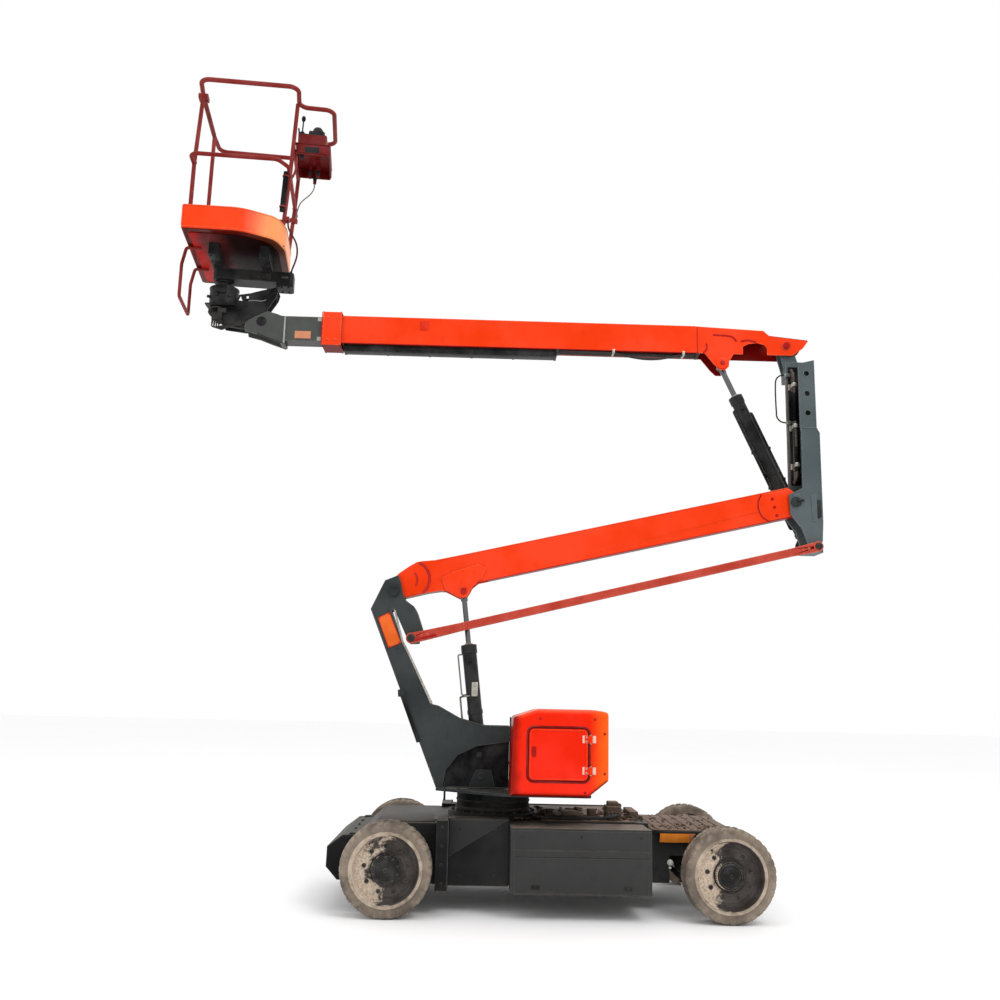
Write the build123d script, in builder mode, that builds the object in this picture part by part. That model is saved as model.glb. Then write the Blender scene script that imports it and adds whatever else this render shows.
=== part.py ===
# Articulating boom lift, battery-electric, narrow chassis.
# Frame: +X from the platform end to the upright end, +Y to the far side, +Z up, millimetres.
# Origin: on the ground, under the middle of the machine's overall length and width as posed here.
from build123d import *
import os
import math

os.makedirs("parts", exist_ok=True)

# ---------------------------------------------------------------- driving dimensions
TYRE_R = 279.5            # solid tyre radius (22 in nominal)
TYRE_W = 178.0            # tyre width (7 in nominal)
RIM_R = 222.0             # tyre seat radius
TRACK_OUT = 750.0         # half of the overall width
WHEEL_Y = TRACK_OUT - TYRE_W / 2
AXLE_DRIVE_X = -599.0     # drive axle
AXLE_STEER_X = 1479.0     # steered axle
KINGPIN_Y = 478.0         # steering pivot, half distance
SPINDLE_R = 30.0
FIT = 0.05                # radial running clearance of pins

SLEW_X = 50.0             # slewing axis
SLEW_R = 243.0
DECK_Z = 536.0            # top of the chassis
SLEW_TOP = 700.0          # underside of the turntable plate

# side profile pivots, each (x, z)
LB_PIN = (-654.0, 1999.0)      # lower boom on the kingpost
LB_LEN = 2848.0                # lower boom between its pins
LB_ANG = 13.96                 # its rise above level as posed
TR_PIN = (-525.0, 1684.0)      # tie rod on the kingpost
UP_OFF = (37.0, 1219.0)        # upper boom pin above the lower boom's outer pin
LC_BASE = (-35.0, 800.0)       # lower lift cylinder, base pin
LC_EYE = (-185.0, 2010.0)      # lower lift cylinder, rod eye
LC_BARREL = 861.0              # base pin to gland
UC_BASE = (2272.0, 2440.0)     # upper lift cylinder, base pin
UC_EYE = (1670.0, 3760.0)      # upper lift cylinder, rod eye
UC_BARREL = 1195.0
LEVEL_PIN = (-1728.0, 3982.0)  # platform levelling pivot

ca, sa = math.cos(math.radians(LB_ANG)), math.sin(math.radians(LB_ANG))
LB_END = (LB_PIN[0] + LB_LEN * ca, LB_PIN[1] + LB_LEN * sa)
TR_END = (TR_PIN[0] + LB_LEN * ca, TR_PIN[1] + LB_LEN * sa)
UB_PIN = (LB_END[0] + UP_OFF[0], LB_END[1] + UP_OFF[1])

# sideways places of the boom group (y)
NEAR_OUT, NEAR_IN = -212.0, -196.0     # near plates of the kingpost and the upright
LB_Y0, LB_Y1 = -185.0, -75.0           # lower boom tube
MID_IN, MID_OUT = -64.0, -48.0         # far plates of the kingpost and the lower lugs
TR_Y0, TR_Y1 = -270.0, -222.0          # tie rod
UB_Y0, UB_Y1 = 15.0, 165.0             # upper boom tube
UB_Y = (UB_Y0 + UB_Y1) / 2
LC_Y = (LB_Y0 + LB_Y1) / 2

LB_WALL = 7.0
UB_Z0, UB_Z1 = 3832.0, 4038.0          # upper boom tube, bottom and top
UB_WALL = 6.0
UB_X0, UB_X1 = -1265.0, 1509.0
FLY_GAP = 3.5

# platform, turned a little on its rotator
ROT_X, ROT_Y = -2030.0, 90.0   # rotator axis
BSK_X, BSK_Y = -1890.0, 95.0   # middle of the platform
ROT_DEG = 6.0
TUB_BOTTOM = 4480.0
FLOOR_Z = 4500.0
TREAD = 4.0               # tread plate on the platform's floor
BAND_TOP = 4660.0
MID_RAIL_Z = 5055.0
TOP_RAIL_Z = 5625.0
RAIL_R = 17.0


def at_y(y):
    """Side-profile plane at the given y: local x is +X, local y is +Z, extrudes towards -Y."""
    return Plane.XZ.offset(-y)


def rot(p, c, deg):
    a = math.radians(deg)
    dx, dz = p[0] - c[0], p[1] - c[1]
    return (c[0] + dx * math.cos(a) - dz * math.sin(a), c[1] + dx * math.sin(a) + dz * math.cos(a))


def along(p, deg, u, v):
    """Point u along and v square to a direction at deg from +X, from p."""
    a = math.radians(deg)
    return (p[0] + u * math.cos(a) - v * math.sin(a), p[1] + u * math.sin(a) + v * math.cos(a))


def save(part, name):
    part.label = name
    export_step(part, f"parts/{name}.step")


# ---------------------------------------------------------------- chassis
LOW_DECK_Z = 485.0        # under the deck plate of the steered end
LOW_DECK_X = 1041.0       # where the deck steps down
CHASSIS_X1 = 1640.0
with BuildPart() as chassis_frame:
    # centre box, its deck lower over the steered axle
    with BuildSketch(at_y(370)):
        with BuildLine():
            Polyline((-330, 175), (CHASSIS_X1, 175), (CHASSIS_X1, 462), (CHASSIS_X1 - 38, LOW_DECK_Z), (LOW_DECK_X, LOW_DECK_Z),
                     (LOW_DECK_X, DECK_Z), (-330, DECK_Z), close=True)
        make_face()
    extrude(amount=740)
    # slewing ring seat
    with BuildSketch(Plane.XY.offset(DECK_Z)):
        with Locations((SLEW_X, 0)):
            Circle(300)
    extrude(amount=30)
    # open bay for the steering arms and their link
    with Locations((1300, 0, 257)):
        Box(250, 800, 170, mode=Mode.SUBTRACT)
    # tie-down lugs in the end plate, each with a bore
    for y in (-310, 310):
        with BuildSketch(Plane.XY.offset(320)):
            with Locations((CHASSIS_X1 + 30, y)):
                Circle(45)
            with Locations((CHASSIS_X1 + 10, y)):
                Rectangle(50, 90)
        extrude(amount=20)
        with Locations((CHASSIS_X1 + 30, y, 330)):
            Cylinder(20, 60, mode=Mode.SUBTRACT)
    # clearance hole for the steered axle's beam
    with Locations((AXLE_STEER_X, 0, TYRE_R)):
        Cylinder(70.3, 1100, rotation=(90, 0, 0), mode=Mode.SUBTRACT)
save(chassis_frame.part, "chassis_frame")

with BuildPart() as chassis_nose:
    # nose ahead of and between the drive wheels, sloping down to its end
    with BuildSketch(at_y(505)):
        with BuildLine():
            Polyline((-915, 180), (-304, 165), (-304, DECK_Z - 6), (-700, DECK_Z - 6), (-790, 454), (-892, 448), (-985, 378),
                     (-987, 257), close=True)
        make_face()
    extrude(amount=1010)
    # the box that runs back into the centre box is cut away behind the cheeks
    with Locations((-316, 0, (175 + DECK_Z) / 2)):
        Box(34, 740.6, DECK_Z - 175 + 40, mode=Mode.SUBTRACT)
    # waist between the cheeks and the battery boxes
    for side in (-1, 1):
        with Locations(((-236 + 149) / 2, side * (370.3 + 500) / 2, 360)):
            Box(149 + 236, 500 - 370.3, 400)
    with Locations((AXLE_DRIVE_X, 0, TYRE_R)):
        Cylinder(70.3, 1100, rotation=(90, 0, 0), mode=Mode.SUBTRACT)
save(chassis_nose.part, "chassis_nose")

with BuildPart() as frame_plates:
    # cheeks beside the drive wheels, outside the centre box
    for side in (-1, 1):
        with Locations((-270, side * (370.3 + 640) / 2, 355)):
            Box(68, 640 - 370.3, 410)
    # deck plate over the steered end
    with BuildSketch(Plane.XY.offset(LOW_DECK_Z)):
        with BuildLine():
            Polyline((LOW_DECK_X + 0.3, -395), (LOW_DECK_X + 0.3, 395), (1120, 435), (CHASSIS_X1 - 45, 435), (CHASSIS_X1 - 38, 395),
                     (CHASSIS_X1 - 38, -395), (CHASSIS_X1 - 45, -435), (1120, -435), close=True)
        make_face()
    extrude(amount=15)
save(frame_plates.part, "frame_plates")

with BuildPart() as battery_boxes:
    # like boxes on the two sides, each with its open space for the batteries
    for side in (-1, 1):
        with BuildSketch(at_y(720 if side > 0 else -370.3)):
            with Locations((578, 342)):
                Rectangle(858, 374)
        extrude(amount=349.7)
        with BuildSketch(at_y(710 if side > 0 else -382)):
            with Locations((578, 342)):
                Rectangle(838, 354)
        extrude(amount=328, mode=Mode.SUBTRACT)
save(battery_boxes.part, "battery_boxes")

with BuildPart() as batteries:
    for side in (-1, 1):
        with Locations((578, side * 546, 330)):
            Box(790, 290, 300)
save(batteries.part, "batteries")

with BuildPart() as drive_axle:
    with Locations((AXLE_DRIVE_X, 0, TYRE_R)):
        Cylinder(70, 1040, rotation=(90, 0, 0))
        Cylinder(SPINDLE_R, 2 * (TRACK_OUT - 45), rotation=(90, 0, 0))
    for side in (-1, 1):
        with Locations((AXLE_DRIVE_X, side * 540, TYRE_R)):
            Cylinder(95, 44, rotation=(90, 0, 0))
save(drive_axle.part, "drive_axle")

with BuildPart() as steer_axle:
    with Locations((AXLE_STEER_X, 0, TYRE_R)):
        Cylinder(70, 800, rotation=(90, 0, 0))
    for side in (-1, 1):
        with Locations((AXLE_STEER_X, side * 386, TYRE_R)):
            Box(90, 26, 190)
        for z in (-80, 80):
            with Locations((AXLE_STEER_X, side * 455, TYRE_R + z)):
                Box(90, 156, 30)
        with Locations((AXLE_STEER_X, side * KINGPIN_Y, TYRE_R)):
            Cylinder(22, 190)
save(steer_axle.part, "steer_axle")

for side, name in ((-1, "knuckle_near"), (1, "knuckle_far")):
    with BuildPart() as knuckle:
        with Locations((AXLE_STEER_X, side * KINGPIN_Y, TYRE_R)):
            Cylinder(48, 118)
        with Locations((AXLE_STEER_X, side * 595, TYRE_R)):
            Cylinder(SPINDLE_R, 2 * 110, rotation=(90, 0, 0))
        with Locations((AXLE_STEER_X, side * 535, TYRE_R)):
            Cylinder(62, 30, rotation=(90, 0, 0))
        # steering arm towards the chassis middle
        with Locations((AXLE_STEER_X - 130, side * KINGPIN_Y, TYRE_R - 10)):
            Box(220, 40, 26)
        with Locations((AXLE_STEER_X - 240, side * KINGPIN_Y, TYRE_R - 10)):
            Cylinder(24, 26)
        with Locations((AXLE_STEER_X, side * KINGPIN_Y, TYRE_R)):
            Cylinder(22 + FIT, 300, mode=Mode.SUBTRACT)
    save(knuckle.part, name)

with BuildPart() as steer_link:
    with BuildSketch(at_y(KINGPIN_Y)):
        with Locations((AXLE_STEER_X - 240, TYRE_R - 60)):
            Circle(16)
    extrude(amount=2 * KINGPIN_Y)
    for side in (-1, 1):
        with Locations((AXLE_STEER_X - 240, side * KINGPIN_Y, TYRE_R - 54)):
            Cylinder(24, 48)
save(steer_link.part, "steer_link")

# wheels: name, axle x, side
WHEELS = (("drive_near", AXLE_DRIVE_X, -1), ("drive_far", AXLE_DRIVE_X, 1),
          ("steer_near", AXLE_STEER_X, -1), ("steer_far", AXLE_STEER_X, 1))
for name, wx, side in WHEELS:
    hub = Plane(origin=(wx, side * WHEEL_Y, TYRE_R), x_dir=(0, side, 0), z_dir=(side, 0, 0))
    spin = Axis((wx, side * WHEEL_Y, TYRE_R), (0, 1, 0))
    with BuildPart() as tyre:
        with BuildSketch(hub):
            with BuildLine():
                Polyline((-TYRE_W / 2, RIM_R), (TYRE_W / 2, RIM_R), (TYRE_W / 2, TYRE_R - 28), (TYRE_W / 2 - 12, TYRE_R - 8),
                         (TYRE_W / 2 - 30, TYRE_R), (-TYRE_W / 2 + 30, TYRE_R), (-TYRE_W / 2 + 12, TYRE_R - 8),
                         (-TYRE_W / 2, TYRE_R - 28), close=True)
            make_face()
        revolve(axis=spin, revolution_arc=360)
    save(tyre.part, "tyre_" + name)
    with BuildPart() as rim:
        with BuildSketch(hub):
            with BuildLine():
                # section of the rim: hub boss, dish, barrel and outer flange
                Polyline((-40, SPINDLE_R + FIT), (68, SPINDLE_R + FIT), (68, 84), (26, 90), (26, 188), (60, 198), (80, 198),
                         (80, RIM_R), (-80, RIM_R), (-80, 205), (0, 205), (8, 188), (8, 90), (-40, 84), close=True)
            make_face()
        revolve(axis=spin, revolution_arc=360)
    save(rim.part, "rim_" + name)

with BuildPart() as slew_ring:
    with BuildSketch(Plane.XY.offset(DECK_Z + 30)):
        with Locations((SLEW_X, 0)):
            Circle(SLEW_R)
            Circle(120, mode=Mode.SUBTRACT)
    extrude(amount=SLEW_TOP - 0.3 - DECK_Z - 30)
save(slew_ring.part, "slew_ring")

# ---------------------------------------------------------------- turntable
POST = ((-331, 716), (-809, 1876), (-720, 2072), (-631, 2110), (-611, 2056), (-595, 1984), (-583, 1955), (-570, 1937),
        (-516, 1899), (-495, 1862), (-454, 1747), (-480, 1655), (-541, 1652), (-608, 1792), (-652, 1880), (-669, 1868),
        (-634, 1778), (-589, 1666), (-539, 1578), (-377, 1253), (-333, 1243), (-187, 1165), (-11, 1121), (146, 1121),
        (146, 1020), (-60, 990), (-190, 930), (-270, 830), (-290, 716))   # outline of the leaning post's side plates
with BuildPart() as kingpost:
    # turntable plate
    with BuildSketch(Plane.XY.offset(SLEW_TOP)):
        with BuildLine():
            Polyline((-331, -230), (-200, -330), (144, -560), (640, -560), (655, -540), (655, 540), (640, 560), (144, 560),
                     (-200, 300), (-331, 60), close=True)
        make_face()
    extrude(amount=16)
    # side plates of the leaning post: y of the far face
    for y in (NEAR_IN, MID_OUT):
        with BuildSketch(at_y(y)):
            with BuildLine():
                Polyline(*POST, close=True)
            make_face()
        extrude(amount=16)
    # back and front webs of the post
    with BuildSketch(at_y(MID_IN)):
        with BuildLine():
            Polyline((-331, 716), (-809, 1876), (-795, 1882), (-313, 716), close=True)
        make_face()
        with BuildLine():
            Polyline((-669, 1868), (-634, 1778), (-589, 1666), (-539, 1578), (-380, 1258), (-390, 1252), (-551, 1573), (-601, 1661),
                     (-646, 1773), (-680, 1862), close=True)
        make_face()
    extrude(amount=MID_IN - NEAR_IN)
    # tie rod pin, standing out of the near plate
    with Locations((TR_PIN[0], (-276 + MID_OUT) / 2, TR_PIN[1])):
        Cylinder(18, 276 + MID_OUT, rotation=(90, 0, 0))
    # lower boom pin
    with Locations((LB_PIN[0], (NEAR_OUT - 12 + MID_OUT + 12) / 2, LB_PIN[1])):
        Cylinder(25, MID_OUT - NEAR_OUT + 24, rotation=(90, 0, 0))
    # cylinder base lugs
    for y in (-186, -62):
        with BuildSketch(at_y(y)):
            with BuildLine():
                Polyline((-120, 716), (60, 716), (30, 835), (-70, 835), close=True)
            make_face()
        extrude(amount=14)
    with Locations((LC_BASE[0], LC_Y, LC_BASE[1])):
        Cylinder(20, 160, rotation=(90, 0, 0))
save(kingpost.part, "kingpost")

DOOR_X0, DOOR_X1, DOOR_Z0, DOOR_Z1 = 243.0, 627.0, 806.0, 1135.0
DOOR_GAP = 11.0           # open joint all round the door
HOOD_WALL = 5.0
SKIN = 20.0               # outer face, thick enough for its rounded edge
# side, name, inner y, outer y, outline (x, z)
HOODS = ((-1, "near", 290.0, 690.0, ((142, 716), (622, 716), (748, 816), (748, 1228), (700, 1238), (298, 1238), (154, 1190))),
         (1, "far", 230.0, 690.0, ((190, 716), (622, 716), (742, 816), (742, 1180), (700, 1192), (330, 1192), (200, 1150))))
for side, name, inner, outer, outline in HOODS:
    y_hi = outer if side > 0 else -inner
    with BuildPart() as hood:
        with BuildSketch(at_y(y_hi)) as hood_face:
            with BuildLine():
                Polyline(*outline, close=True)
            make_face()
            fillet(hood_face.vertices().sort_by(Axis.Y)[2:], 22)
        extrude(amount=outer - inner)
        outer_face = hood.faces().sort_by(Axis.Y)[0 if side < 0 else -1]
        fillet(outer_face.edges(), 34)
        with BuildSketch(at_y(outer - SKIN if side > 0 else -inner - HOOD_WALL)) as hollow:
            with BuildLine():
                Polyline(*outline, close=True)
            make_face()
            fillet(hollow.vertices().sort_by(Axis.Y)[2:], 22)
            offset(amount=-HOOD_WALL)
        extrude(amount=outer - inner - HOOD_WALL - SKIN, mode=Mode.SUBTRACT)
        # the outer rounding is kept thick, the doorway is open
        with BuildSketch(at_y(side * 600 + 150)):
            with Locations(((DOOR_X0 + DOOR_X1) / 2, (DOOR_Z0 + DOOR_Z1) / 2)):
                RectangleRounded(DOOR_X1 - DOOR_X0, DOOR_Z1 - DOOR_Z0, 40)
        extrude(amount=300, mode=Mode.SUBTRACT)
        # the inner wall stays closed behind it
        with BuildSketch(at_y(inner + HOOD_WALL if side > 0 else -inner)):
            with Locations(((DOOR_X0 + DOOR_X1) / 2, (DOOR_Z0 + DOOR_Z1) / 2)):
                Rectangle(DOOR_X1 - DOOR_X0 + 20, DOOR_Z1 - DOOR_Z0 + 20)
        extrude(amount=HOOD_WALL)
    save(hood.part, "hood_" + name)
    with BuildPart() as door:
        with BuildSketch(at_y(690 if side > 0 else -685)):
            with Locations(((DOOR_X0 + DOOR_X1) / 2, (DOOR_Z0 + DOOR_Z1) / 2)):
                RectangleRounded(DOOR_X1 - DOOR_X0 - 2 * DOOR_GAP, DOOR_Z1 - DOOR_Z0 - 2 * DOOR_GAP, 40 - DOOR_GAP)
        extrude(amount=5)
        for z in (DOOR_Z0 + 70, DOOR_Z1 - 70):
            with Locations((DOOR_X1 + 6, side * 698, z)):
                Cylinder(7, 50)
            with Locations((DOOR_X1 - 14, side * 693.4, z)):
                Box(36, 6, 44)
    save(door.part, "hood_door_" + name)

with BuildPart() as counterweight:
    with Locations((500, 20, 866)):
        Box(270, 380, 300)
save(counterweight.part, "counterweight")


with BuildPart() as power_units:
    for side in (-1, 1):
        with Locations((425, side * 460, 905)):
            Box(370, 300, 360)
save(power_units.part, "power_units")

with BuildPart() as swing_motor:
    with BuildSketch(Plane.XY.offset(716)):
        with Locations((40, 110)):
            Circle(90)
    extrude(amount=60)
    with BuildSketch(Plane.XY.offset(776)):
        with Locations((40, 110)):
            Circle(60)
    extrude(amount=120)
save(swing_motor.part, "swing_motor")

# ---------------------------------------------------------------- lift cylinders
# name, base pin, eye, y, barrel length, barrel radius, rod radius, base eye width
# name, base pin, eye, y, barrel length, barrel radius, rod radius, length kept inside, base eye width
CYLINDERS = (("lower", LC_BASE, LC_EYE, LC_Y, LC_BARREL, 48.5, 18.0, 485.0, 80.0),
             ("upper", UC_BASE, UC_EYE, UB_Y, UC_BARREL, 47.0, 20.0, 585.0, 70.0))
for name, base, eye, y, barrel_l, br, rr, rod_in, eye_w in CYLINDERS:
    length = math.dist(base, eye)
    dx, dz = (eye[0] - base[0]) / length, (eye[1] - base[1]) / length
    foot = Plane(origin=(base[0], y, base[1]), x_dir=(0, 1, 0), z_dir=(dx, 0, dz))
    with BuildPart() as barrel:
        with BuildSketch(foot.offset(30)):
            Circle(br)
        extrude(amount=barrel_l - 30)
        with BuildSketch(foot.offset(70)):
            Circle(br - 12)
        extrude(amount=barrel_l - 95, mode=Mode.SUBTRACT)
        with BuildSketch(foot.offset(barrel_l - 30)):
            Circle(rr + 0.05)
        extrude(amount=60, mode=Mode.SUBTRACT)
        with BuildSketch(at_y(y + eye_w / 2)):
            with Locations(base):
                Circle(42)
        extrude(amount=eye_w)
        with BuildSketch(at_y(y + eye_w)):
            with Locations(base):
                Circle(20 + FIT)
        extrude(amount=2 * eye_w, mode=Mode.SUBTRACT)
    save(barrel.part, name + "_cylinder_barrel")
    with BuildPart() as rod:
        with BuildSketch(foot.offset(barrel_l - rod_in)):
            Circle(rr)
        extrude(amount=length - barrel_l + rod_in - 20)
        with BuildSketch(foot.offset(barrel_l - rod_in)):
            Circle(br - 12.3)
        extrude(amount=40)
        # head of the rod, with its eye
        with BuildSketch(foot.offset(length - 62)):
            Circle(24)
        extrude(amount=50)
        with BuildSketch(at_y(y + 25)):
            with Locations(eye):
                Circle(33)
        extrude(amount=50)
        with BuildSketch(at_y(y + 40)):
            with Locations(eye):
                Circle(18)
        extrude(amount=80, mode=Mode.SUBTRACT)
    save(rod.part, name + "_cylinder_rod")

# ---------------------------------------------------------------- lower boom and tie rod
lb_plane = Plane(origin=(LB_PIN[0], LB_Y1, LB_PIN[1]), x_dir=(ca, 0, sa), z_dir=(0, -1, 0))
EYE_U, EYE_V = ((LC_EYE[0] - LB_PIN[0]) * ca + (LC_EYE[1] - LB_PIN[1]) * sa,
                -(LC_EYE[0] - LB_PIN[0]) * sa + (LC_EYE[1] - LB_PIN[1]) * ca)
# side outline, along and square to the line between its pins
LB_TOP = ((LB_LEN + 40, 50), (LB_LEN - 20, 116), (500, 148), (313, 152), (228, 164), (191, 166), (138, 150), (57, 118),
          (-30, 62), (-62, 10))
LB_BOTTOM = ((-50, -40), (-20, -57), (219, -56), (305, -62), (340, -71), (388, -110), (430, -144), (473, -144), (524, -87),
             (573, -63), (LB_LEN - 20, -94), (LB_LEN + 40, -50))
with BuildPart() as lower_boom:
    with BuildSketch(lb_plane):
        with BuildLine():
            Polyline(*LB_BOTTOM, *LB_TOP, close=True)
        make_face()
    extrude(amount=LB_Y1 - LB_Y0)
    # hollow, and open below where the cylinder's eye stands
    with BuildSketch(lb_plane.offset(LB_WALL)):
        with BuildLine():
            Polyline((90, -49), (600, -56), (LB_LEN - 120, -85), (LB_LEN - 120, 109), (500, 141), (190, 141), (90, 110), close=True)
        make_face()
        with BuildLine():
            Polyline((330, -240), (640, -240), (640, 0), (330, 0), close=True)
        make_face()
    extrude(amount=LB_Y1 - LB_Y0 - 2 * LB_WALL, mode=Mode.SUBTRACT)
    # doublers on the cheeks round the cylinder's pin
    for off in (-6, LB_Y1 - LB_Y0):
        with BuildSketch(lb_plane.offset(off)):
            with BuildLine():
                Polyline((340, -68), (388, -110), (430, -144), (473, -144), (524, -87), (560, -66), (500, -30), (400, -30), close=True)
            make_face()
        extrude(amount=6)
    # bores of the end pins
    with BuildSketch(lb_plane):
        Circle(25 + FIT)
        with Locations((LB_LEN, 0)):
            Circle(25 + FIT)
    extrude(amount=LB_Y1 - LB_Y0, mode=Mode.SUBTRACT)
save(lower_boom.part, "lower_boom")

tr_plane = Plane(origin=(TR_PIN[0], TR_Y1, TR_PIN[1]), x_dir=(ca, 0, sa), z_dir=(0, -1, 0))
with BuildPart() as tie_rod:
    with BuildSketch(tr_plane):
        with BuildLine():
            # deeper at its ends
            Polyline((0, -36), (120, -34), (360, -27), (LB_LEN - 200, -27), (LB_LEN, -34), (LB_LEN, 34), (LB_LEN - 200, 27),
                     (360, 27), (120, 31), (0, 34), close=True)
        make_face()
        Circle(36)
        with Locations((LB_LEN, 0)):
            Circle(36)
    extrude(amount=TR_Y1 - TR_Y0)
    with BuildSketch(tr_plane):
        Circle(18 + FIT)
        with Locations((LB_LEN, 0)):
            Circle(24)
    extrude(amount=TR_Y1 - TR_Y0, mode=Mode.SUBTRACT)
save(tie_rod.part, "tie_rod")


# ---------------------------------------------------------------- upright
with BuildPart() as upright:
    # near plate
    with BuildSketch(at_y(NEAR_IN)):
        with BuildLine():
            Polyline((2159, 3696), (2273, 3725), (2276, 3225), (2296, 3190), (2298, 2550), (2290, 2420), (2262, 2352), (2215, 2350),
                     (2190, 2390), (2150, 2500), (2072, 2600), (2066, 2740), (2162, 2790), (2164, 3200), (2159, 3240), close=True)
        make_face()
        with Locations((2216, 3624), (2216, 3476), (2217, 3334)):
            Circle(20, mode=Mode.SUBTRACT)
    extrude(amount=16)
    # middle plate
    with BuildSketch(at_y(MID_OUT)):
        with BuildLine():
            Polyline((2112, 3755), (2290, 3755), (2298, 2550), (2290, 2352), (2190, 2352), (2150, 2500), (2072, 2600), (2066, 2740),
                     (2108, 2800), close=True)
        make_face()
    extrude(amount=16)
    # back web
    with BuildSketch(at_y(MID_IN)):
        with BuildLine():
            Polyline((2262, 3700), (2273, 3700), (2276, 3225), (2296, 3190), (2298, 2560), (2284, 2560), (2284, 3188), (2264, 3222),
                     close=True)
        make_face()
        with BuildLine():
            Polyline((2190, 2352), (2290, 2352), (2292, 2372), (2186, 2372), close=True)
        make_face()
    extrude(amount=MID_IN - NEAR_IN)
    # bulkhead fittings of the loop hose
    for z in (3651, 3293):
        with Locations((2122, -76, z)):
            Box(24, 24, 24)
    # head that carries the upper boom, and its two lugs
    with Locations((2217, 51, 3700)):
        Box(146, 200, 110)
    for y in (56, 140):
        with BuildSketch(at_y(y)):
            with BuildLine():
                Polyline((2144, 3700), (2290, 3700), (2230, 3800), (2203, 3905), (2180, 3950), (UB_PIN[0], 3962), (2114, 3950),
                         (2092, 3905), close=True)
            make_face()
        extrude(amount=16)
    # foot that carries the upper cylinder
    with Locations((2272, 50, 2372)):
        Box(146, 200, 24)
    for y in (42, 152):
        with BuildSketch(at_y(y)):
            with BuildLine():
                Polyline((2200, 2372), (2345, 2372), (2345, 2440), (2310, 2490), (2234, 2490), (2210, 2440), close=True)
            make_face()
        extrude(amount=14)
    with Locations((UC_BASE[0], UB_Y, UC_BASE[1])):
        Cylinder(20, 150, rotation=(90, 0, 0))
    # pins
    with Locations((LB_END[0], (NEAR_OUT + MID_OUT) / 2, LB_END[1])):
        Cylinder(25, MID_OUT - NEAR_OUT + 16, rotation=(90, 0, 0))
    with Locations((UB_PIN[0], UB_Y, UB_PIN[1])):
        Cylinder(25, UB_Y1 - UB_Y0 + 24, rotation=(90, 0, 0))
    with Locations((TR_END[0], (TR_Y0 - 10 + NEAR_IN) / 2, TR_END[1])):
        Cylinder(17, NEAR_IN - TR_Y0 + 10, rotation=(90, 0, 0))
save(upright.part, "upright")

# ---------------------------------------------------------------- upper boom
with BuildPart() as upper_boom:
    with BuildSketch(Plane.YZ.offset(UB_X0)):
        with Locations((UB_Y, (UB_Z0 + UB_Z1) / 2)):
            Rectangle(UB_Y1 - UB_Y0, UB_Z1 - UB_Z0)
            Rectangle(UB_Y1 - UB_Y0 - 2 * UB_WALL, UB_Z1 - UB_Z0 - 2 * UB_WALL, mode=Mode.SUBTRACT)
    extrude(amount=UB_X1 - UB_X0)
    # collar
    with BuildSketch(Plane.YZ.offset(UB_X0 - 10)):
        with Locations((UB_Y, (UB_Z0 + UB_Z1) / 2)):
            Rectangle(UB_Y1 - UB_Y0 + 36, UB_Z1 - UB_Z0 + 46)
            Rectangle(UB_Y1 - UB_Y0 - 2 * UB_WALL, UB_Z1 - UB_Z0 - 2 * UB_WALL, mode=Mode.SUBTRACT)
    extrude(amount=140)
    # rear side plates with the cylinder lobe: y of the far face
    for y in (UB_Y0 + 8, UB_Y1):
        with BuildSketch(at_y(y)):
            with BuildLine():
                Polyline((1480, 4038), (1980, 4018), (2024, 3980), (2313, 3951), (2272, 3891), (2190, 3832), (1755, 3832),
                         (1722, 3775), (1718, 3735), (1690, 3707), (1650, 3707), (1610, 3745), (1540, 3832), (1480, 3832), close=True)
            make_face()
            with Locations(UB_PIN):
                Circle(25 + FIT, mode=Mode.SUBTRACT)
        extrude(amount=8)
    # the near plate is cut away from below, between the lobe and the pin
    with BuildSketch(at_y(UB_Y0 + 9)):
        with BuildLine():
            Polyline((1824, 3820), (2004, 3820), (2004, 3884), (1984, 3908), (1930, 3922), (1868, 3914), (1824, 3890), close=True)
        make_face()
    extrude(amount=10, mode=Mode.SUBTRACT)
    # top plate of the rear
    with BuildSketch(at_y(UB_Y1 - 8)):
        with BuildLine():
            Polyline((1490, 4038), (1980, 4018), (2024, 3980), (2024, 3972), (1976, 4010), (1490, 4028), close=True)
        make_face()
    extrude(amount=UB_Y1 - UB_Y0 - 16)
    # cylinder pin ends
    for y in (UB_Y0 + 8, UB_Y1 + 6):
        with BuildSketch(at_y(y)):
            with Locations(UC_EYE):
                Circle(17)
        extrude(amount=14)
save(upper_boom.part, "upper_boom")

with BuildPart() as cable_tray:
    with BuildSketch(Plane.YZ.offset(-1120)):
        with Locations((UB_Y, 3808)):
            Rectangle(96, 48)
        with Locations((UB_Y, 3812)):
            Rectangle(88, 40, mode=Mode.SUBTRACT)
    extrude(amount=1560)
save(cable_tray.part, "cable_tray")

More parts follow.
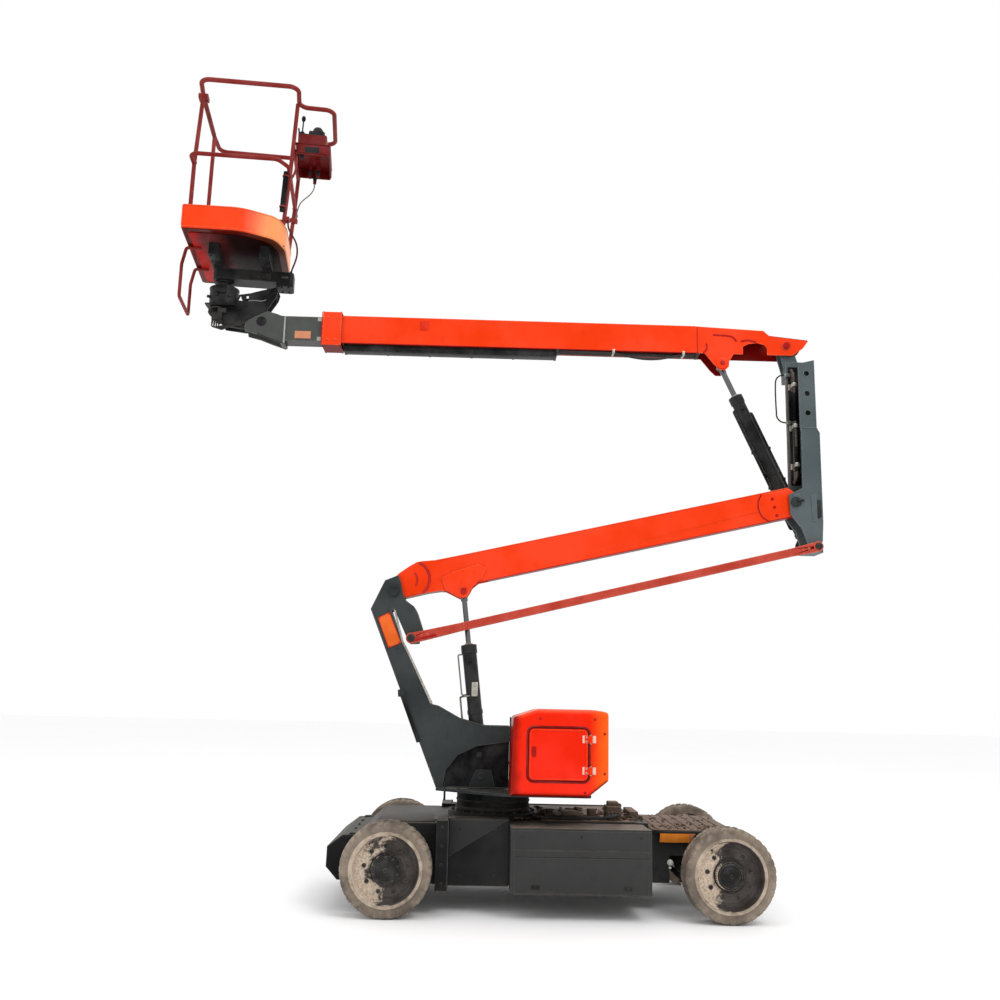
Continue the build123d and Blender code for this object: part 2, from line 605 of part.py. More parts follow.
with BuildPart() as fly_boom:
    fly_w, fly_h = UB_Y1 - UB_Y0 - 2 * UB_WALL - 2 * FLY_GAP, UB_Z1 - UB_Z0 - 2 * UB_WALL - 2 * FLY_GAP
    fz0, fz1 = (UB_Z0 + UB_Z1) / 2 - fly_h / 2, (UB_Z0 + UB_Z1) / 2 + fly_h / 2
    with BuildSketch(Plane.YZ.offset(-1575)):
        with Locations((UB_Y, (fz0 + fz1) / 2)):
            Rectangle(fly_w, fly_h)
            Rectangle(fly_w - 12, fly_h - 12, mode=Mode.SUBTRACT)
    extrude(amount=1575 + 1440)
    # goose-neck cheeks to the levelling pivot
    for y in (UB_Y - fly_w / 2 + 10, UB_Y + fly_w / 2):
        with BuildSketch(at_y(y)):
            with BuildLine():
                Polyline((-1550, 3822), (-1560, 3815), (-1656, 3847), (-1752, 3883), (-1843, 3905), (-1850, 3940), (-1842, 3978),
                         (-1780, 4015), (-1716, 4047), (-1689, 4062), (-1622, 4045), (-1566, 4024), (-1550, fz1), close=True)
            make_face()
            with Locations(LEVEL_PIN):
                Circle(20 + FIT, mode=Mode.SUBTRACT)
        extrude(amount=10)
    with BuildSketch(at_y(UB_Y + fly_w / 2)):
        with BuildLine():
            Polyline((-1550, 3818), (-1560, 3815), (-1585, 3823), (-1585, 3831), (-1560, 3823), (-1550, 3826), close=True)
        make_face()
        with BuildLine():
            Polyline((-1550, fz1), (-1585, fz1 + 2), (-1585, fz1 - 8), (-1550, fz1 - 8), close=True)
        make_face()
    extrude(amount=fly_w)
save(fly_boom.part, "fly_boom")

# ---------------------------------------------------------------- platform
with BuildPart() as platform_bracket:
    # yoke that stays level, on the levelling pin
    for y in (UB_Y - 38, UB_Y + 50):
        with BuildSketch(at_y(y)):
            with BuildLine():
                Polyline((-1700, 3942), (-1860, 3925), (-2012, 3944), (-2033, 3985), (-2075, 3999), (-2088, 4029), (-2130, 4048),
                         (-2111, 4088), (-2140, 4088), (-2140, 4100), (-1924, 4100), (-1924, 4140), (-1900, 4190), (-1824, 4204),
                         (-1745, 4228), (-1637, 4255), (-1624, 4224), (-1634, 4180), (-1668, 4124), (-1691, 4088), (-1700, 4040),
                         (-1690, 4000), close=True)
            make_face()
            with BuildLine():
                Polyline((-1912, 4145), (-1836, 4140), (-1836, 4185), (-1900, 4178), close=True)
            make_face(mode=Mode.SUBTRACT)
            with BuildLine():
                Polyline((-1740, 4140), (-1710, 4150), (-1712, 4176), (-1738, 4170), close=True)
            make_face(mode=Mode.SUBTRACT)
        extrude(amount=12)
    # seat of the rotator
    with BuildSketch(Plane.XY.offset(4088)):
        with Locations((-2032, UB_Y)):
            Rectangle(216, 210)
    extrude(amount=12)
    # cross plates between the yoke's sides
    for x, z, l, h in ((-2060, 4040, 40, 84), (-1895, 4010, 12, 130), (-1780, 4192, 60, 10), (-1655, 4205, 12, 60)):
        with Locations((x, UB_Y, z)):
            Box(l, 100, h)
    with Locations((LEVEL_PIN[0], UB_Y, LEVEL_PIN[1])):
        Cylinder(20, 2 * 70, rotation=(90, 0, 0))
save(platform_bracket.part, "platform_bracket")

with BuildPart() as rotator:
    with BuildSketch(Plane.XY.offset(4100)):
        with Locations((ROT_X, ROT_Y)):
            Circle(105)
    extrude(amount=145)
save(rotator.part, "rotator")

basket = Plane(origin=(BSK_X, BSK_Y, 0), x_dir=(math.cos(math.radians(ROT_DEG)), math.sin(math.radians(ROT_DEG)), 0), z_dir=(0, 0, 1))


def tube(points, r_bend, r):
    """A bent tube of the platform, through points in its own frame."""
    with BuildPart() as bent:
        with BuildLine() as path:
            if r_bend:
                FilletPolyline(*[basket.from_local_coords(p) for p in points], radius=r_bend)
            else:
                Polyline(*[basket.from_local_coords(p) for p in points])
        with BuildSketch(Plane(origin=path.line @ 0, z_dir=path.line % 0)):
            Circle(r)
        sweep(path=path.line)
    return bent.part


with BuildPart() as basket_support:
    # output shaft of the rotator
    with BuildSketch(Plane.XY.offset(4245.3)):
        with Locations((ROT_X, ROT_Y)):
            Circle(46)
    extrude(amount=55)
    # beam under the tub, with its low end piece
    with BuildSketch(basket.offset(4300)) as beam:
        with Locations((72, 0)):
            RectangleRounded(586, 150, 30)
    extrude(amount=82)
    with BuildSketch(basket.offset(4271)):
        with Locations((302, 0)):
            RectangleRounded(126, 150, 30)
    extrude(amount=60)
    # cross beams that hold the floor
    for lx in (-190, 170):
        with BuildSketch(basket.offset(4382)):
            with Locations((lx, 0)):
                Rectangle(70, 620)
        extrude(amount=TUB_BOTTOM - 4382)
    # fitting of the hose that comes down outside the tub
    end, before = basket.from_local_coords((345, -66, 4392)), basket.from_local_coords((356, -88, 4418))
    with BuildSketch(Plane(origin=end, z_dir=(end - before).normalized())):
        Circle(9.5)
    extrude(amount=44)
save(basket_support.part, "basket_support")

# plan of the tub: corner x, y and its rounding
TUB_PLAN = ((-393, -500, 25), (10, -515, 300), (250, -405, 150), (308, -230, 200), (308, 230, 200), (250, 405, 150), (10, 515, 300),
            (-393, 500, 25))
# height of the cut's floor, of its top, inset from the outside, mode
TUB_STEPS = ((TUB_BOTTOM, BAND_TOP, 0.0, Mode.ADD), (FLOOR_Z, BAND_TOP + 1, 6.0, Mode.SUBTRACT))
with BuildPart() as basket_tub:
    for z0, z1, inset, mode in TUB_STEPS:
        with BuildSketch(basket.offset(z0)) as plan:
            with BuildLine():
                Polyline(*[(x, y) for x, y, r in TUB_PLAN], close=True)
            make_face()
            for x, y, r in TUB_PLAN:
                fillet(plan.vertices().sort_by_distance(Vector(x, y, 0))[0], r)
            if inset:
                offset(amount=-inset)
        extrude(amount=z1 - z0, mode=mode)
        if not inset:
            fillet(basket_tub.edges().group_by(Axis.Z)[0], 12)
    # tread plate, clear of the rail posts' feet
    with BuildSketch(basket.offset(FLOOR_Z)):
        with Locations((-50, 0)):
            RectangleRounded(580, 680, 20)
    extrude(amount=TREAD)
save(basket_tub.part, "basket_tub")

# rails: posts, top rail with the guard out round the console, mid rail, as one welded frame
BAR_X, BAR_Y0, BAR_Y1 = -351.0, -240.0, 255.0
TOP_LOOP = ((-351, -286), (-335, -512), (358, -520), (345, -256), (604, -250), (600, 250), (345, 256), (358, 520), (-335, 512),
            (-351, 286))
MID_LOOP = ((-369, -350), (-372, -492), (240, -505), (310, -400), (312, 400), (240, 505), (-372, 492), (-369, 350))
# post: x, y at its foot, at the mid rail and at the top rail, for one side
POSTS = ((-368, 355, -366, 345, -351, 288), (273, 255, 310, 270, 337, 292))
rail_tubes = [tube([(x, y, TOP_RAIL_Z) for x, y in TOP_LOOP], 70, RAIL_R),
              tube([(x, y, MID_RAIL_Z) for x, y in MID_LOOP], 60, 15),
              tube([(322, -278, 5300), (322, 278, 5300)], 0, 13)]    # the last carries the console
for side in (-1, 1):
    for x0, y0, x1, y1, x2, y2 in POSTS:
        rail_tubes.append(tube([(x0, side * y0, FLOOR_Z), (x1, side * y1, MID_RAIL_Z), (x2, side * y2, TOP_RAIL_Z)], 150, 15))
with BuildPart() as basket_rails:
    for piece in rail_tubes:
        add(piece)
    # clips that hold the console's cable and the tub's hose: x, y, underside
    for x, y, z in ((315, 255, 4932), (302, -262, 4700)):
        with BuildSketch(basket.offset(z)):
            with Locations((x, y)):
                Rectangle(46, 34)
        extrude(amount=30)
    # yoke and pin of the entry bar
    with BuildSketch(basket.offset(TOP_RAIL_Z - 16)):
        with Locations((BAR_X, -284)):
            Rectangle(70, 32)
        for dx in (-31, 31):
            with Locations((BAR_X + dx, -254)):
                Rectangle(8, 60)
    extrude(amount=32)
    with BuildSketch(Plane(origin=basket.from_local_coords((BAR_X - 35, BAR_Y0, TOP_RAIL_Z)), z_dir=basket.x_dir)):
        Circle(8)
    extrude(amount=70)
save(basket_rails.part, "basket_rails")

with BuildPart() as control_console:
    with BuildSketch(basket.offset(5265)):
        with Locations((460, -37.5)):
            RectangleRounded(250, 375, 18)
        with Locations((460, -37.5)):
            RectangleRounded(238, 363, 14, mode=Mode.SUBTRACT)
    extrude(amount=80)
    with BuildSketch(basket.offset(5339)):
        with Locations((460, -37.5)):
            RectangleRounded(250, 375, 18)
    extrude(amount=8)
    with BuildSketch(basket.offset(5347)):
        with Locations((452, -37.5)):
            RectangleRounded(215, 345, 20)
    extrude(amount=88)
    # glands under it: the tail cable's, and two more
    for x, y, z in ((464.3, 112.1, 5205), (430, 60, 5222), (490, 40, 5215)):
        with BuildSketch(basket.offset(z)):
            with Locations((x, y)):
                Circle(13)
        extrude(amount=5341 - z)
save(control_console.part, "control_console")



def hose(points, r):
    """A flexible line: straight runs joined by arcs as large as the runs allow."""
    runs = [math.dist(a, b) for a, b in zip(points, points[1:])]
    steps = [(Vector(*b) - Vector(*a)).normalized() for a, b in zip(points, points[1:])]
    radii = [0.45 * min(runs[i], runs[i + 1]) / math.tan(math.radians(steps[i].get_angle(steps[i + 1])) / 2)
             for i in range(len(points) - 2)]
    with BuildPart() as line:
        with BuildLine() as path:
            FilletPolyline(*points, radius=radii)
        with BuildSketch(Plane(origin=path.line @ 0, z_dir=path.line % 0)):
            Circle(r)
        sweep(path=path.line)
    length = sum(e.length for e in path.edges())
    print("hose", "length", round(length, 1), "runs", round(sum(runs), 1), "volume ratio",
          round(line.part.volume / (math.pi * r * r * length), 4), "radii", [round(x) for x in radii])
    return line.part


# free lines, each as node, radius, frame, and its route from one end to the other
LOOP_ROUTE = ((2110, -76, 3651), (2077, -76, 3651), (2048.4, -76, 3634.5), (2032, -76, 3606), (2031, -76, 3572), (2029, -76, 3515),
              (2030, -76, 3455), (2031, -76, 3404), (2033, -76, 3371), (2032, -76, 3338), (2048.4, -76, 3309.5), (2077, -76, 3293),
              (2110, -76, 3293))
CABLE_ROUTE = ((464.3, 112.1, 5205), (464.3, 112.1, 5177), (456, 118.5, 5150), (438, 131.3, 5126), (411.4, 150.2, 5108),
               (381, 172.6, 5092), (356, 194, 5073), (343, 214, 5048), (333, 232, 5020), (325, 244, 4992), (325, 244, 4962))
TUB_ROUTE = ((317, -262, 4700), (317, -262, 4666), (329, -253, 4634), (352, -232, 4602), (377, -202, 4570), (388, -172, 4530),
             (386, -142, 4488), (373, -114, 4450), (356, -88, 4418), (345, -66, 4392))
FREE_LINES = (("upright_loop_hose", 5.5, LOOP_ROUTE), ("console_cable", 4.5, [tuple(basket.from_local_coords(p)) for p in CABLE_ROUTE]),
              ("tub_hose", 6.5, [tuple(basket.from_local_coords(p)) for p in TUB_ROUTE]))
for name, r, route in FREE_LINES:
    save(hose(route, r), name)

# lines the upright holds all the way: x, y, low end, high end, bend
UPRIGHT_LINES = ((2149, -92, 2850, 3690, 22), (2153, -116, 2872, 3668, 40), (2147, -142, 2860, 3642, 55))
with BuildPart() as upright_hoses:
    for x, y, z0, z1, bend in UPRIGHT_LINES:
        with BuildLine() as path:
            FilletPolyline((x, MID_IN, z1), (x, y, z1), (x, y, z0), (x, MID_IN, z0), radius=bend)
        with BuildSketch(Plane(origin=path.line @ 0, z_dir=path.line % 0)):
            Circle(9)
        sweep(path=path.line)
save(upright_hoses.part, "upright_hoses")

# lines under the upper boom, from the tray to the clamp by the cylinder's lobe: y, and z by x
SLACK_LINE = ((442, 30, 3821), (865, 30, 3819), (930, 30, 3806), (1010, 30, 3788), (1100, 30, 3777), (1190, 30, 3779), (1280, 30, 3796),
              (1350, 30, 3813), (1400, 30, 3820), (1480, 30, 3821))
slack_line = hose(SLACK_LINE, 8)
with BuildPart() as boom_hoses:
    add(slack_line)
    for y in (52, 76):
        with BuildSketch(Plane.YZ.offset(442)):
            with Locations((y, 3821)):
                Circle(8)
        extrude(amount=1480 - 442)
    # their end clamps, bolted to the boom
    for x in (442, 1476):
        with Locations((x + 10, 55, 3819)):
            Box(20, 86, 26)
save(boom_hoses.part, "boom_hoses")

STEP_X = -424.95          # the step's standing legs, the platform's outermost point
step_tube = tube([(-300, -195, TUB_BOTTOM - 12), (-400, -195, TUB_BOTTOM - 12), (STEP_X, -195, 4340), (STEP_X, -195, 4095),
                  (STEP_X, 195, 4095), (STEP_X, 195, 4340), (-400, 195, TUB_BOTTOM - 12), (-300, 195, TUB_BOTTOM - 12)], 24, 12)
with BuildPart() as entry_step:
    add(step_tube)
save(entry_step.part, "entry_step")

bar_tube = tube([(BAR_X, BAR_Y0 + 10, TOP_RAIL_Z), (BAR_X, BAR_Y1, TOP_RAIL_Z)], 0, 17.5)
with BuildPart() as entry_bar:
    add(bar_tube)
    # hinge barrel, across the bar
    with BuildSketch(Plane(origin=basket.from_local_coords((BAR_X - 25, BAR_Y0, TOP_RAIL_Z)), z_dir=basket.x_dir)):
        Circle(20)
    extrude(amount=50)
    with BuildSketch(Plane(origin=basket.from_local_coords((BAR_X - 30, BAR_Y0, TOP_RAIL_Z)), z_dir=basket.x_dir)):
        Circle(8 + FIT)
    extrude(amount=60, mode=Mode.SUBTRACT)
save(entry_bar.part, "entry_bar")
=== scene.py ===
# Looks of an articulating boom lift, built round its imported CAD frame. Metres, same frame as the CAD:
# +X from the platform end to the upright end, +Y to the far side, +Z up.
import bpy
import bmesh
import math
import random
from mathutils import Vector, Matrix


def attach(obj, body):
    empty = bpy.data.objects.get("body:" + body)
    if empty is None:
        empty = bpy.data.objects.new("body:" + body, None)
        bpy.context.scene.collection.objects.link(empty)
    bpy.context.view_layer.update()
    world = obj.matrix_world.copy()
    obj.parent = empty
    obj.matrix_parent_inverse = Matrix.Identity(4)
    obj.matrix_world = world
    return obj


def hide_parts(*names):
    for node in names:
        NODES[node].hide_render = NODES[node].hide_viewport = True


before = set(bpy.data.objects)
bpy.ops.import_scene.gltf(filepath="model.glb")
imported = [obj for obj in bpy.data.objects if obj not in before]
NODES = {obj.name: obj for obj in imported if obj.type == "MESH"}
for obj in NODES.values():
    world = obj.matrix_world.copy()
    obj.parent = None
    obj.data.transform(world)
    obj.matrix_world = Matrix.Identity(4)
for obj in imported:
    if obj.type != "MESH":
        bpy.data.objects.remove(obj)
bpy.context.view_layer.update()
random.seed(7)
scene = bpy.context.scene


# ------------------------------------------------------------------ materials
def srgb(r, g, b):
    def lin(c):
        c /= 255.0
        return c / 12.92 if c <= 0.04045 else ((c + 0.055) / 1.055) ** 2.4
    return (lin(r), lin(g), lin(b), 1.0)


class Tree:
    """A small node-tree builder."""
    def __init__(self, name):
        self.mat = bpy.data.materials.new(name)
        self.mat.use_nodes = True
        self.nt = self.mat.node_tree
        self.nt.nodes.clear()
        self.out = self.nt.nodes.new("ShaderNodeOutputMaterial")
        self.bsdf = self.nt.nodes.new("ShaderNodeBsdfPrincipled")
        self.nt.links.new(self.bsdf.outputs[0], self.out.inputs[0])
        self.tc = self.nt.nodes.new("ShaderNodeTexCoord")
        self.P = self.tc.outputs["Object"]

    def link(self, a, b):
        self.nt.links.new(a, b)

    def put(self, sock, v):
        if isinstance(v, bpy.types.NodeSocket):
            self.link(v, sock)
        else:
            sock.default_value = v

    def noise(self, scale, detail=4.0, rough=0.55, vec=None, distortion=0.0):
        n = self.nt.nodes.new("ShaderNodeTexNoise")
        n.inputs["Scale"].default_value = scale
        n.inputs["Detail"].default_value = detail
        n.inputs["Roughness"].default_value = rough
        n.inputs["Distortion"].default_value = distortion
        self.link(vec or self.P, n.inputs["Vector"])
        return n.outputs[0]

    def voronoi(self, scale, vec=None, feature="F1"):
        n = self.nt.nodes.new("ShaderNodeTexVoronoi")
        n.feature = feature
        n.inputs["Scale"].default_value = scale
        self.link(vec or self.P, n.inputs["Vector"])
        return n.outputs[0]

    def stretch(self, sx, sy, sz):
        n = self.nt.nodes.new("ShaderNodeMapping")
        n.inputs["Scale"].default_value = (sx, sy, sz)
        self.link(self.P, n.inputs["Vector"])
        return n.outputs[0]

    def ramp(self, f, a, b, lo=0.0, hi=1.0):
        n = self.nt.nodes.new("ShaderNodeMapRange")
        n.interpolation_type = "SMOOTHSTEP"
        self.put(n.inputs["Value"], f)
        for k, v in zip(("From Min", "From Max", "To Min", "To Max"), (a, b, lo, hi)):
            n.inputs[k].default_value = v
        return n.outputs[0]

    def math(self, op, a, b=0.0):
        n = self.nt.nodes.new("ShaderNodeMath")
        n.operation = op
        self.put(n.inputs[0], a)
        self.put(n.inputs[1], b)
        return n.outputs[0]

    def mix(self, f, a, b):
        n = self.nt.nodes.new("ShaderNodeMix")
        n.data_type = "RGBA"
        self.put(n.inputs[0], f)
        self.put(n.inputs[6], a)
        self.put(n.inputs[7], b)
        return n.outputs[2]

    def axis(self, i, sock=None):
        n = self.nt.nodes.new("ShaderNodeSeparateXYZ")
        self.link(sock or self.P, n.inputs[0])
        return n.outputs[i]

    def edge(self, radius):
        """1 near edges of the shape, 0 on flat ground."""
        b = self.nt.nodes.new("ShaderNodeBevel")
        b.samples = 3
        b.inputs["Radius"].default_value = radius
        g = self.nt.nodes.new("ShaderNodeNewGeometry")
        d = self.nt.nodes.new("ShaderNodeVectorMath")
        d.operation = "DOT_PRODUCT"
        self.link(b.outputs[0], d.inputs[0])
        self.link(g.outputs["Normal"], d.inputs[1])
        return self.ramp(d.outputs["Value"], 0.985, 0.88)

    def bump(self, h, strength, dist, base=None):
        n = self.nt.nodes.new("ShaderNodeBump")
        n.inputs["Strength"].default_value = strength
        n.inputs["Distance"].default_value = dist
        self.link(h, n.inputs["Height"])
        if base is not None:
            self.link(base, n.inputs["Normal"])
        return n.outputs[0]


def dark(c, k):
    return (c[0] * k, c[1] * k, c[2] * k, 1.0)


def toward(c, d, k):
    return tuple(c[i] * (1 - k) + d[i] * k for i in range(3)) + (1.0,)


def paint(name, col, rough=0.38, vary=0.16, coat=0.25, metallic=0.0, wear=None, wear_amt=0.0, wear_r=0.006, dust=None,
          dust_amt=0.0, dust_low=None, mottle=0.0, mottle_col=None, grain=0.0, spots=None, big=1.6, streaks=0.0, peel=0.06,
          under=None, x_light=None, x_shade=None, inner_shade=None, spec=0.10):
    """Painted metal: colour drift, fine mottling, worn edges, dust on what faces up and low down, and an orange-peel
    skin; when asked, also painted shade on faces turned down, a painted highlight and a painted shade graded along
    object x, and painted shade on inward faces past a given y.
    """
    t = Tree(name)
    n_big = t.noise(big, 3.0)
    n_mid = t.noise(14.0, 6.0, 0.62)
    n_fine = t.noise(90.0, 5.0, 0.7)
    c = t.mix(t.ramp(n_big, 0.34, 0.68), dark(col, 1.0 - vary), toward(col, (1, 1, 1), vary * 0.10))
    c = t.mix(t.ramp(n_mid, 0.52, 0.80, 0.0, 0.55), c, dark(col, 1.0 - 1.9 * vary))
    if mottle:
        c = t.mix(t.ramp(n_fine, 0.46, 0.66, 0.0, mottle), c, mottle_col or dark(col, 0.45))
    if streaks:
        s = t.noise(9.0, 5.0, 0.6, vec=t.stretch(5.0, 5.0, 0.55))
        c = t.mix(t.ramp(s, 0.56, 0.80, 0.0, streaks), c, dark(col, 0.5))
    if spots is not None:
        v = t.noise(26.0, 8.0, 0.75)
        c = t.mix(t.ramp(v, 0.66, 0.73, 0.0, 0.85), c, spots)
    r = t.ramp(n_fine, 0.3, 0.75, rough * 0.82, min(1.0, rough * 1.3))
    if wear is not None and wear_amt:
        e = t.math("MULTIPLY", t.edge(wear_r), t.ramp(t.noise(30.0, 5.0, 0.7), 0.40, 0.62, 0.15, wear_amt))
        c = t.mix(e, c, wear)
        r = t.math("ADD", r, t.math("MULTIPLY", e, 0.2))
    if dust is not None:
        up = t.ramp(t.axis(2, t.tc.outputs["Normal"]), 0.25, 0.95)
        m = t.math("MULTIPLY", up, t.ramp(t.noise(7.0, 7.0, 0.7), 0.30, 0.66, 0.25, dust_amt))
        if dust_low is not None:
            low = t.ramp(t.axis(2), dust_low, 0.02, 0.0, 0.6)
            low = t.math("MULTIPLY", low, t.ramp(t.noise(11.0, 7.0, 0.72), 0.38, 0.68))
            m = t.math("MAXIMUM", m, low)
        c = t.mix(m, c, dust)
        r = t.math("MAXIMUM", r, t.math("MULTIPLY", m, 0.85))
    # painted highlight and painted shade, each graded along object x with a noisy edge
    wob = t.math("MULTIPLY", t.noise(5.0, 5.0, 0.6), 0.10)
    for part in (x_light, x_shade):
        if part is not None:
            f = t.ramp(t.math("ADD", t.axis(0), wob), part[1] + 0.05, part[2] + 0.05, 0.0, part[3])
            c = t.mix(f, c, part[0])
    # painted shade on faces turned down
    if under is not None:
        down_shade = t.ramp(t.axis(2, t.tc.outputs["Normal"]), -0.25, -0.85, 0.0, 0.94)
        c = t.mix(down_shade, c, t.mix(t.ramp(t.noise(2.2, 5.0, 0.6), 0.35, 0.65), under, dark(under, 0.35)))
    # painted shade on faces turned inward past a given y
    if inner_shade is not None:
        deep_in = t.ramp(t.axis(1), inner_shade[0], inner_shade[0] + 0.004)
        faces = t.ramp(t.axis(1, t.tc.outputs["Normal"]), -0.4, -0.7)
        c = t.mix(t.math("MULTIPLY", deep_in, faces), c, inner_shade[1])
    t.link(c, t.bsdf.inputs["Base Color"])
    t.link(r, t.bsdf.inputs["Roughness"])
    t.bsdf.inputs["Metallic"].default_value = metallic
    t.bsdf.inputs["Specular IOR Level"].default_value = spec
    t.bsdf.inputs["Coat Weight"].default_value = coat * 0.16
    t.bsdf.inputs["Coat Roughness"].default_value = 0.18
    b = t.bump(t.noise(420.0, 2.0), peel, 0.0006)
    b = t.bump(n_fine, 0.10 + grain, 0.0012, b)
    t.link(b, t.bsdf.inputs["Normal"])
    return t.mat


def bare_metal(name, col, rough=0.28, brushed=0.5, tint=0.25):
    t = Tree(name)
    n = t.noise(60.0, 6.0, 0.7, vec=t.stretch(1.0, 12.0, 1.0))
    g = t.noise(9.0, 5.0)
    c = t.mix(t.ramp(g, 0.42, 0.72, 0.0, tint), col, dark(col, 0.35))
    c = t.mix(t.ramp(n, 0.45, 0.75, 0.0, 0.3), c, dark(col, 0.7))
    t.link(c, t.bsdf.inputs["Base Color"])
    t.link(t.ramp(n, 0.3, 0.7, rough * 0.7, rough * 1.5), t.bsdf.inputs["Roughness"])
    t.bsdf.inputs["Metallic"].default_value = 1.0
    t.link(t.bump(n, 0.12 * brushed, 0.0004), t.bsdf.inputs["Normal"])
    return t.mat


def rubber(name, col, dust, amt=0.5, rough=0.8):
    t = Tree(name)
    a = t.noise(18.0, 8.0, 0.7)
    f = t.noise(160.0, 5.0, 0.7)
    c = t.mix(t.ramp(a, 0.40, 0.70, 0.0, 0.6), col, dark(col, 0.55))
    c = t.mix(t.ramp(t.noise(6.0, 8.0, 0.72), 0.36, 0.64, 0.05, amt), c, dust)
    c = t.mix(t.ramp(f, 0.55, 0.8, 0.0, 0.35), c, dark(col, 0.5))
    t.link(c, t.bsdf.inputs["Base Color"])
    t.link(t.ramp(a, 0.3, 0.7, rough * 0.85, min(1.0, rough * 1.15)), t.bsdf.inputs["Roughness"])
    t.bsdf.inputs["Specular IOR Level"].default_value = 0.35
    b = t.bump(f, 0.35, 0.0008)
    t.link(t.bump(a, 0.25, 0.002, b), t.bsdf.inputs["Normal"])
    return t.mat


DUST = srgb(158, 140, 122)
M = {}
# the darker reds on faces turned down and on the far plates' inner faces are painted shade
M["orange"] = paint("orange_paint", srgb(238, 56, 3), rough=0.34, vary=0.13, coat=0.35, under=srgb(120, 10, 4), inner_shade=(0.100, srgb(112, 10, 5)), spec=0.04, wear=srgb(255, 150, 100), wear_amt=0.55,
                    wear_r=0.008, dust=srgb(235, 150, 110), dust_amt=0.35, spots=srgb(196, 34, 12), big=2.4)
# hood: lighter orange toward +x is a painted highlight; darker red toward the low-x edge and on faces turned down is
# painted shade
M["hood"] = paint("hood_paint", srgb(240, 34, 1), rough=0.30, vary=0.12, coat=0.35, under=srgb(110, 8, 3), spec=0.04,
                  x_light=(srgb(240, 96, 22), 0.62, 0.74, 0.9), x_shade=(srgb(130, 14, 4), 0.215, 0.145, 0.9), wear=srgb(255, 120, 60), wear_amt=0.4, wear_r=0.012,
                  dust=srgb(240, 140, 90), dust_amt=0.2, big=1.4, peel=0.04)
M["groove"] = paint("groove_shadow_red", srgb(170, 14, 6), rough=0.5, vary=0.2, coat=0.0)
# tub: peach toward +x is a painted highlight; darker red on faces turned down is painted shade
M["tub"] = paint("tub_shell", srgb(240, 60, 3), rough=0.30, vary=0.10, coat=0.5, under=srgb(66, 3, 2), spec=0.06,
                 x_light=(srgb(240, 160, 100), -1.80, -1.60, 0.85), wear=srgb(255, 190, 140), wear_amt=0.5, wear_r=0.006,
                 dust=srgb(250, 190, 150), dust_amt=0.35, big=2.0)
M["rail"] = paint("rail_paint", srgb(134, 34, 28), rough=0.42, vary=0.22, coat=0.2, wear=srgb(120, 90, 80), wear_amt=0.5, wear_r=0.004,
                  mottle=0.35, mottle_col=srgb(90, 26, 18), big=5.0)
M["bar"] = paint("entry_bar_paint", srgb(120, 34, 26), rough=0.5, vary=0.22, coat=0.1, mottle=0.5, mottle_col=srgb(52, 22, 20), big=6.0)
M["brick"] = paint("tie_rod_paint", srgb(186, 62, 44), rough=0.45, vary=0.18, coat=0.15, wear=srgb(214, 130, 104), wear_amt=0.7,
                   wear_r=0.010, mottle=0.35, mottle_col=srgb(128, 34, 24), dust=srgb(216, 128, 100), dust_amt=0.5, big=4.0)
M["console"] = paint("console_red", srgb(110, 8, 8), rough=0.42, vary=0.2, coat=0.2, mottle=0.25, big=6.0)
M["grey"] = paint("post_grey", srgb(42, 48, 48), rough=0.40, vary=0.22, coat=0.2, wear=srgb(110, 116, 112), wear_amt=0.6, wear_r=0.008,
                  mottle=0.22, mottle_col=srgb(38, 40, 40), dust=srgb(112, 106, 98), dust_amt=0.3, streaks=0.3, big=1.8)
M["fly"] = paint("fly_grey", srgb(74, 76, 74), rough=0.42, vary=0.14, coat=0.15, wear=srgb(150, 152, 148), wear_amt=0.6, wear_r=0.006,
                 mottle=0.2, mottle_col=srgb(58, 60, 58), big=3.0)
M["upright"] = paint("upright_grey", srgb(78, 88, 90), rough=0.42, vary=0.16, coat=0.15, wear=srgb(140, 150, 150), wear_amt=0.55,
                     wear_r=0.008, mottle=0.2, mottle_col=srgb(66, 74, 78), dust=srgb(120, 118, 110), dust_amt=0.3, streaks=0.3, big=2.2)
M["black"] = paint("black_paint", srgb(14, 15, 15), rough=0.38, vary=0.3, coat=0.2, wear=srgb(86, 86, 84), wear_amt=0.5, wear_r=0.004,
                   mottle=0.25, mottle_col=srgb(26, 25, 24), dust=srgb(60, 55, 50), dust_amt=0.2, big=4.0)
M["black_matt"] = paint("black_matt", srgb(9, 9, 9), rough=0.62, vary=0.3, coat=0.0, mottle=0.3, mottle_col=srgb(22, 20, 19), big=5.0, spec=0.04)
M["chassis"] = paint("chassis_paint", srgb(15, 18, 16), rough=0.48, vary=0.25, coat=0.1, wear=srgb(92, 94, 92), wear_amt=0.45,
                     wear_r=0.006, mottle=0.2, mottle_col=srgb(18, 18, 18), dust=srgb(84, 74, 64), dust_amt=0.55, dust_low=0.24,
                     big=1.5)
M["box"] = paint("battery_box_paint", srgb(48, 49, 48), rough=0.45, vary=0.10, coat=0.15, wear=srgb(104, 106, 106), wear_amt=0.4,
                 wear_r=0.008, mottle=0.14, mottle_col=srgb(44, 45, 45), dust=srgb(128, 112, 100), dust_amt=0.95, dust_low=0.2, big=1.2)
M["deck"] = paint("deck_dirt", srgb(88, 74, 62), rough=0.85, vary=0.25, coat=0.0, mottle=0.6, mottle_col=srgb(62, 50, 42), spots=srgb(168, 148, 136),
                  dust=srgb(160, 140, 126), dust_amt=0.5, grain=0.5, big=6.0)
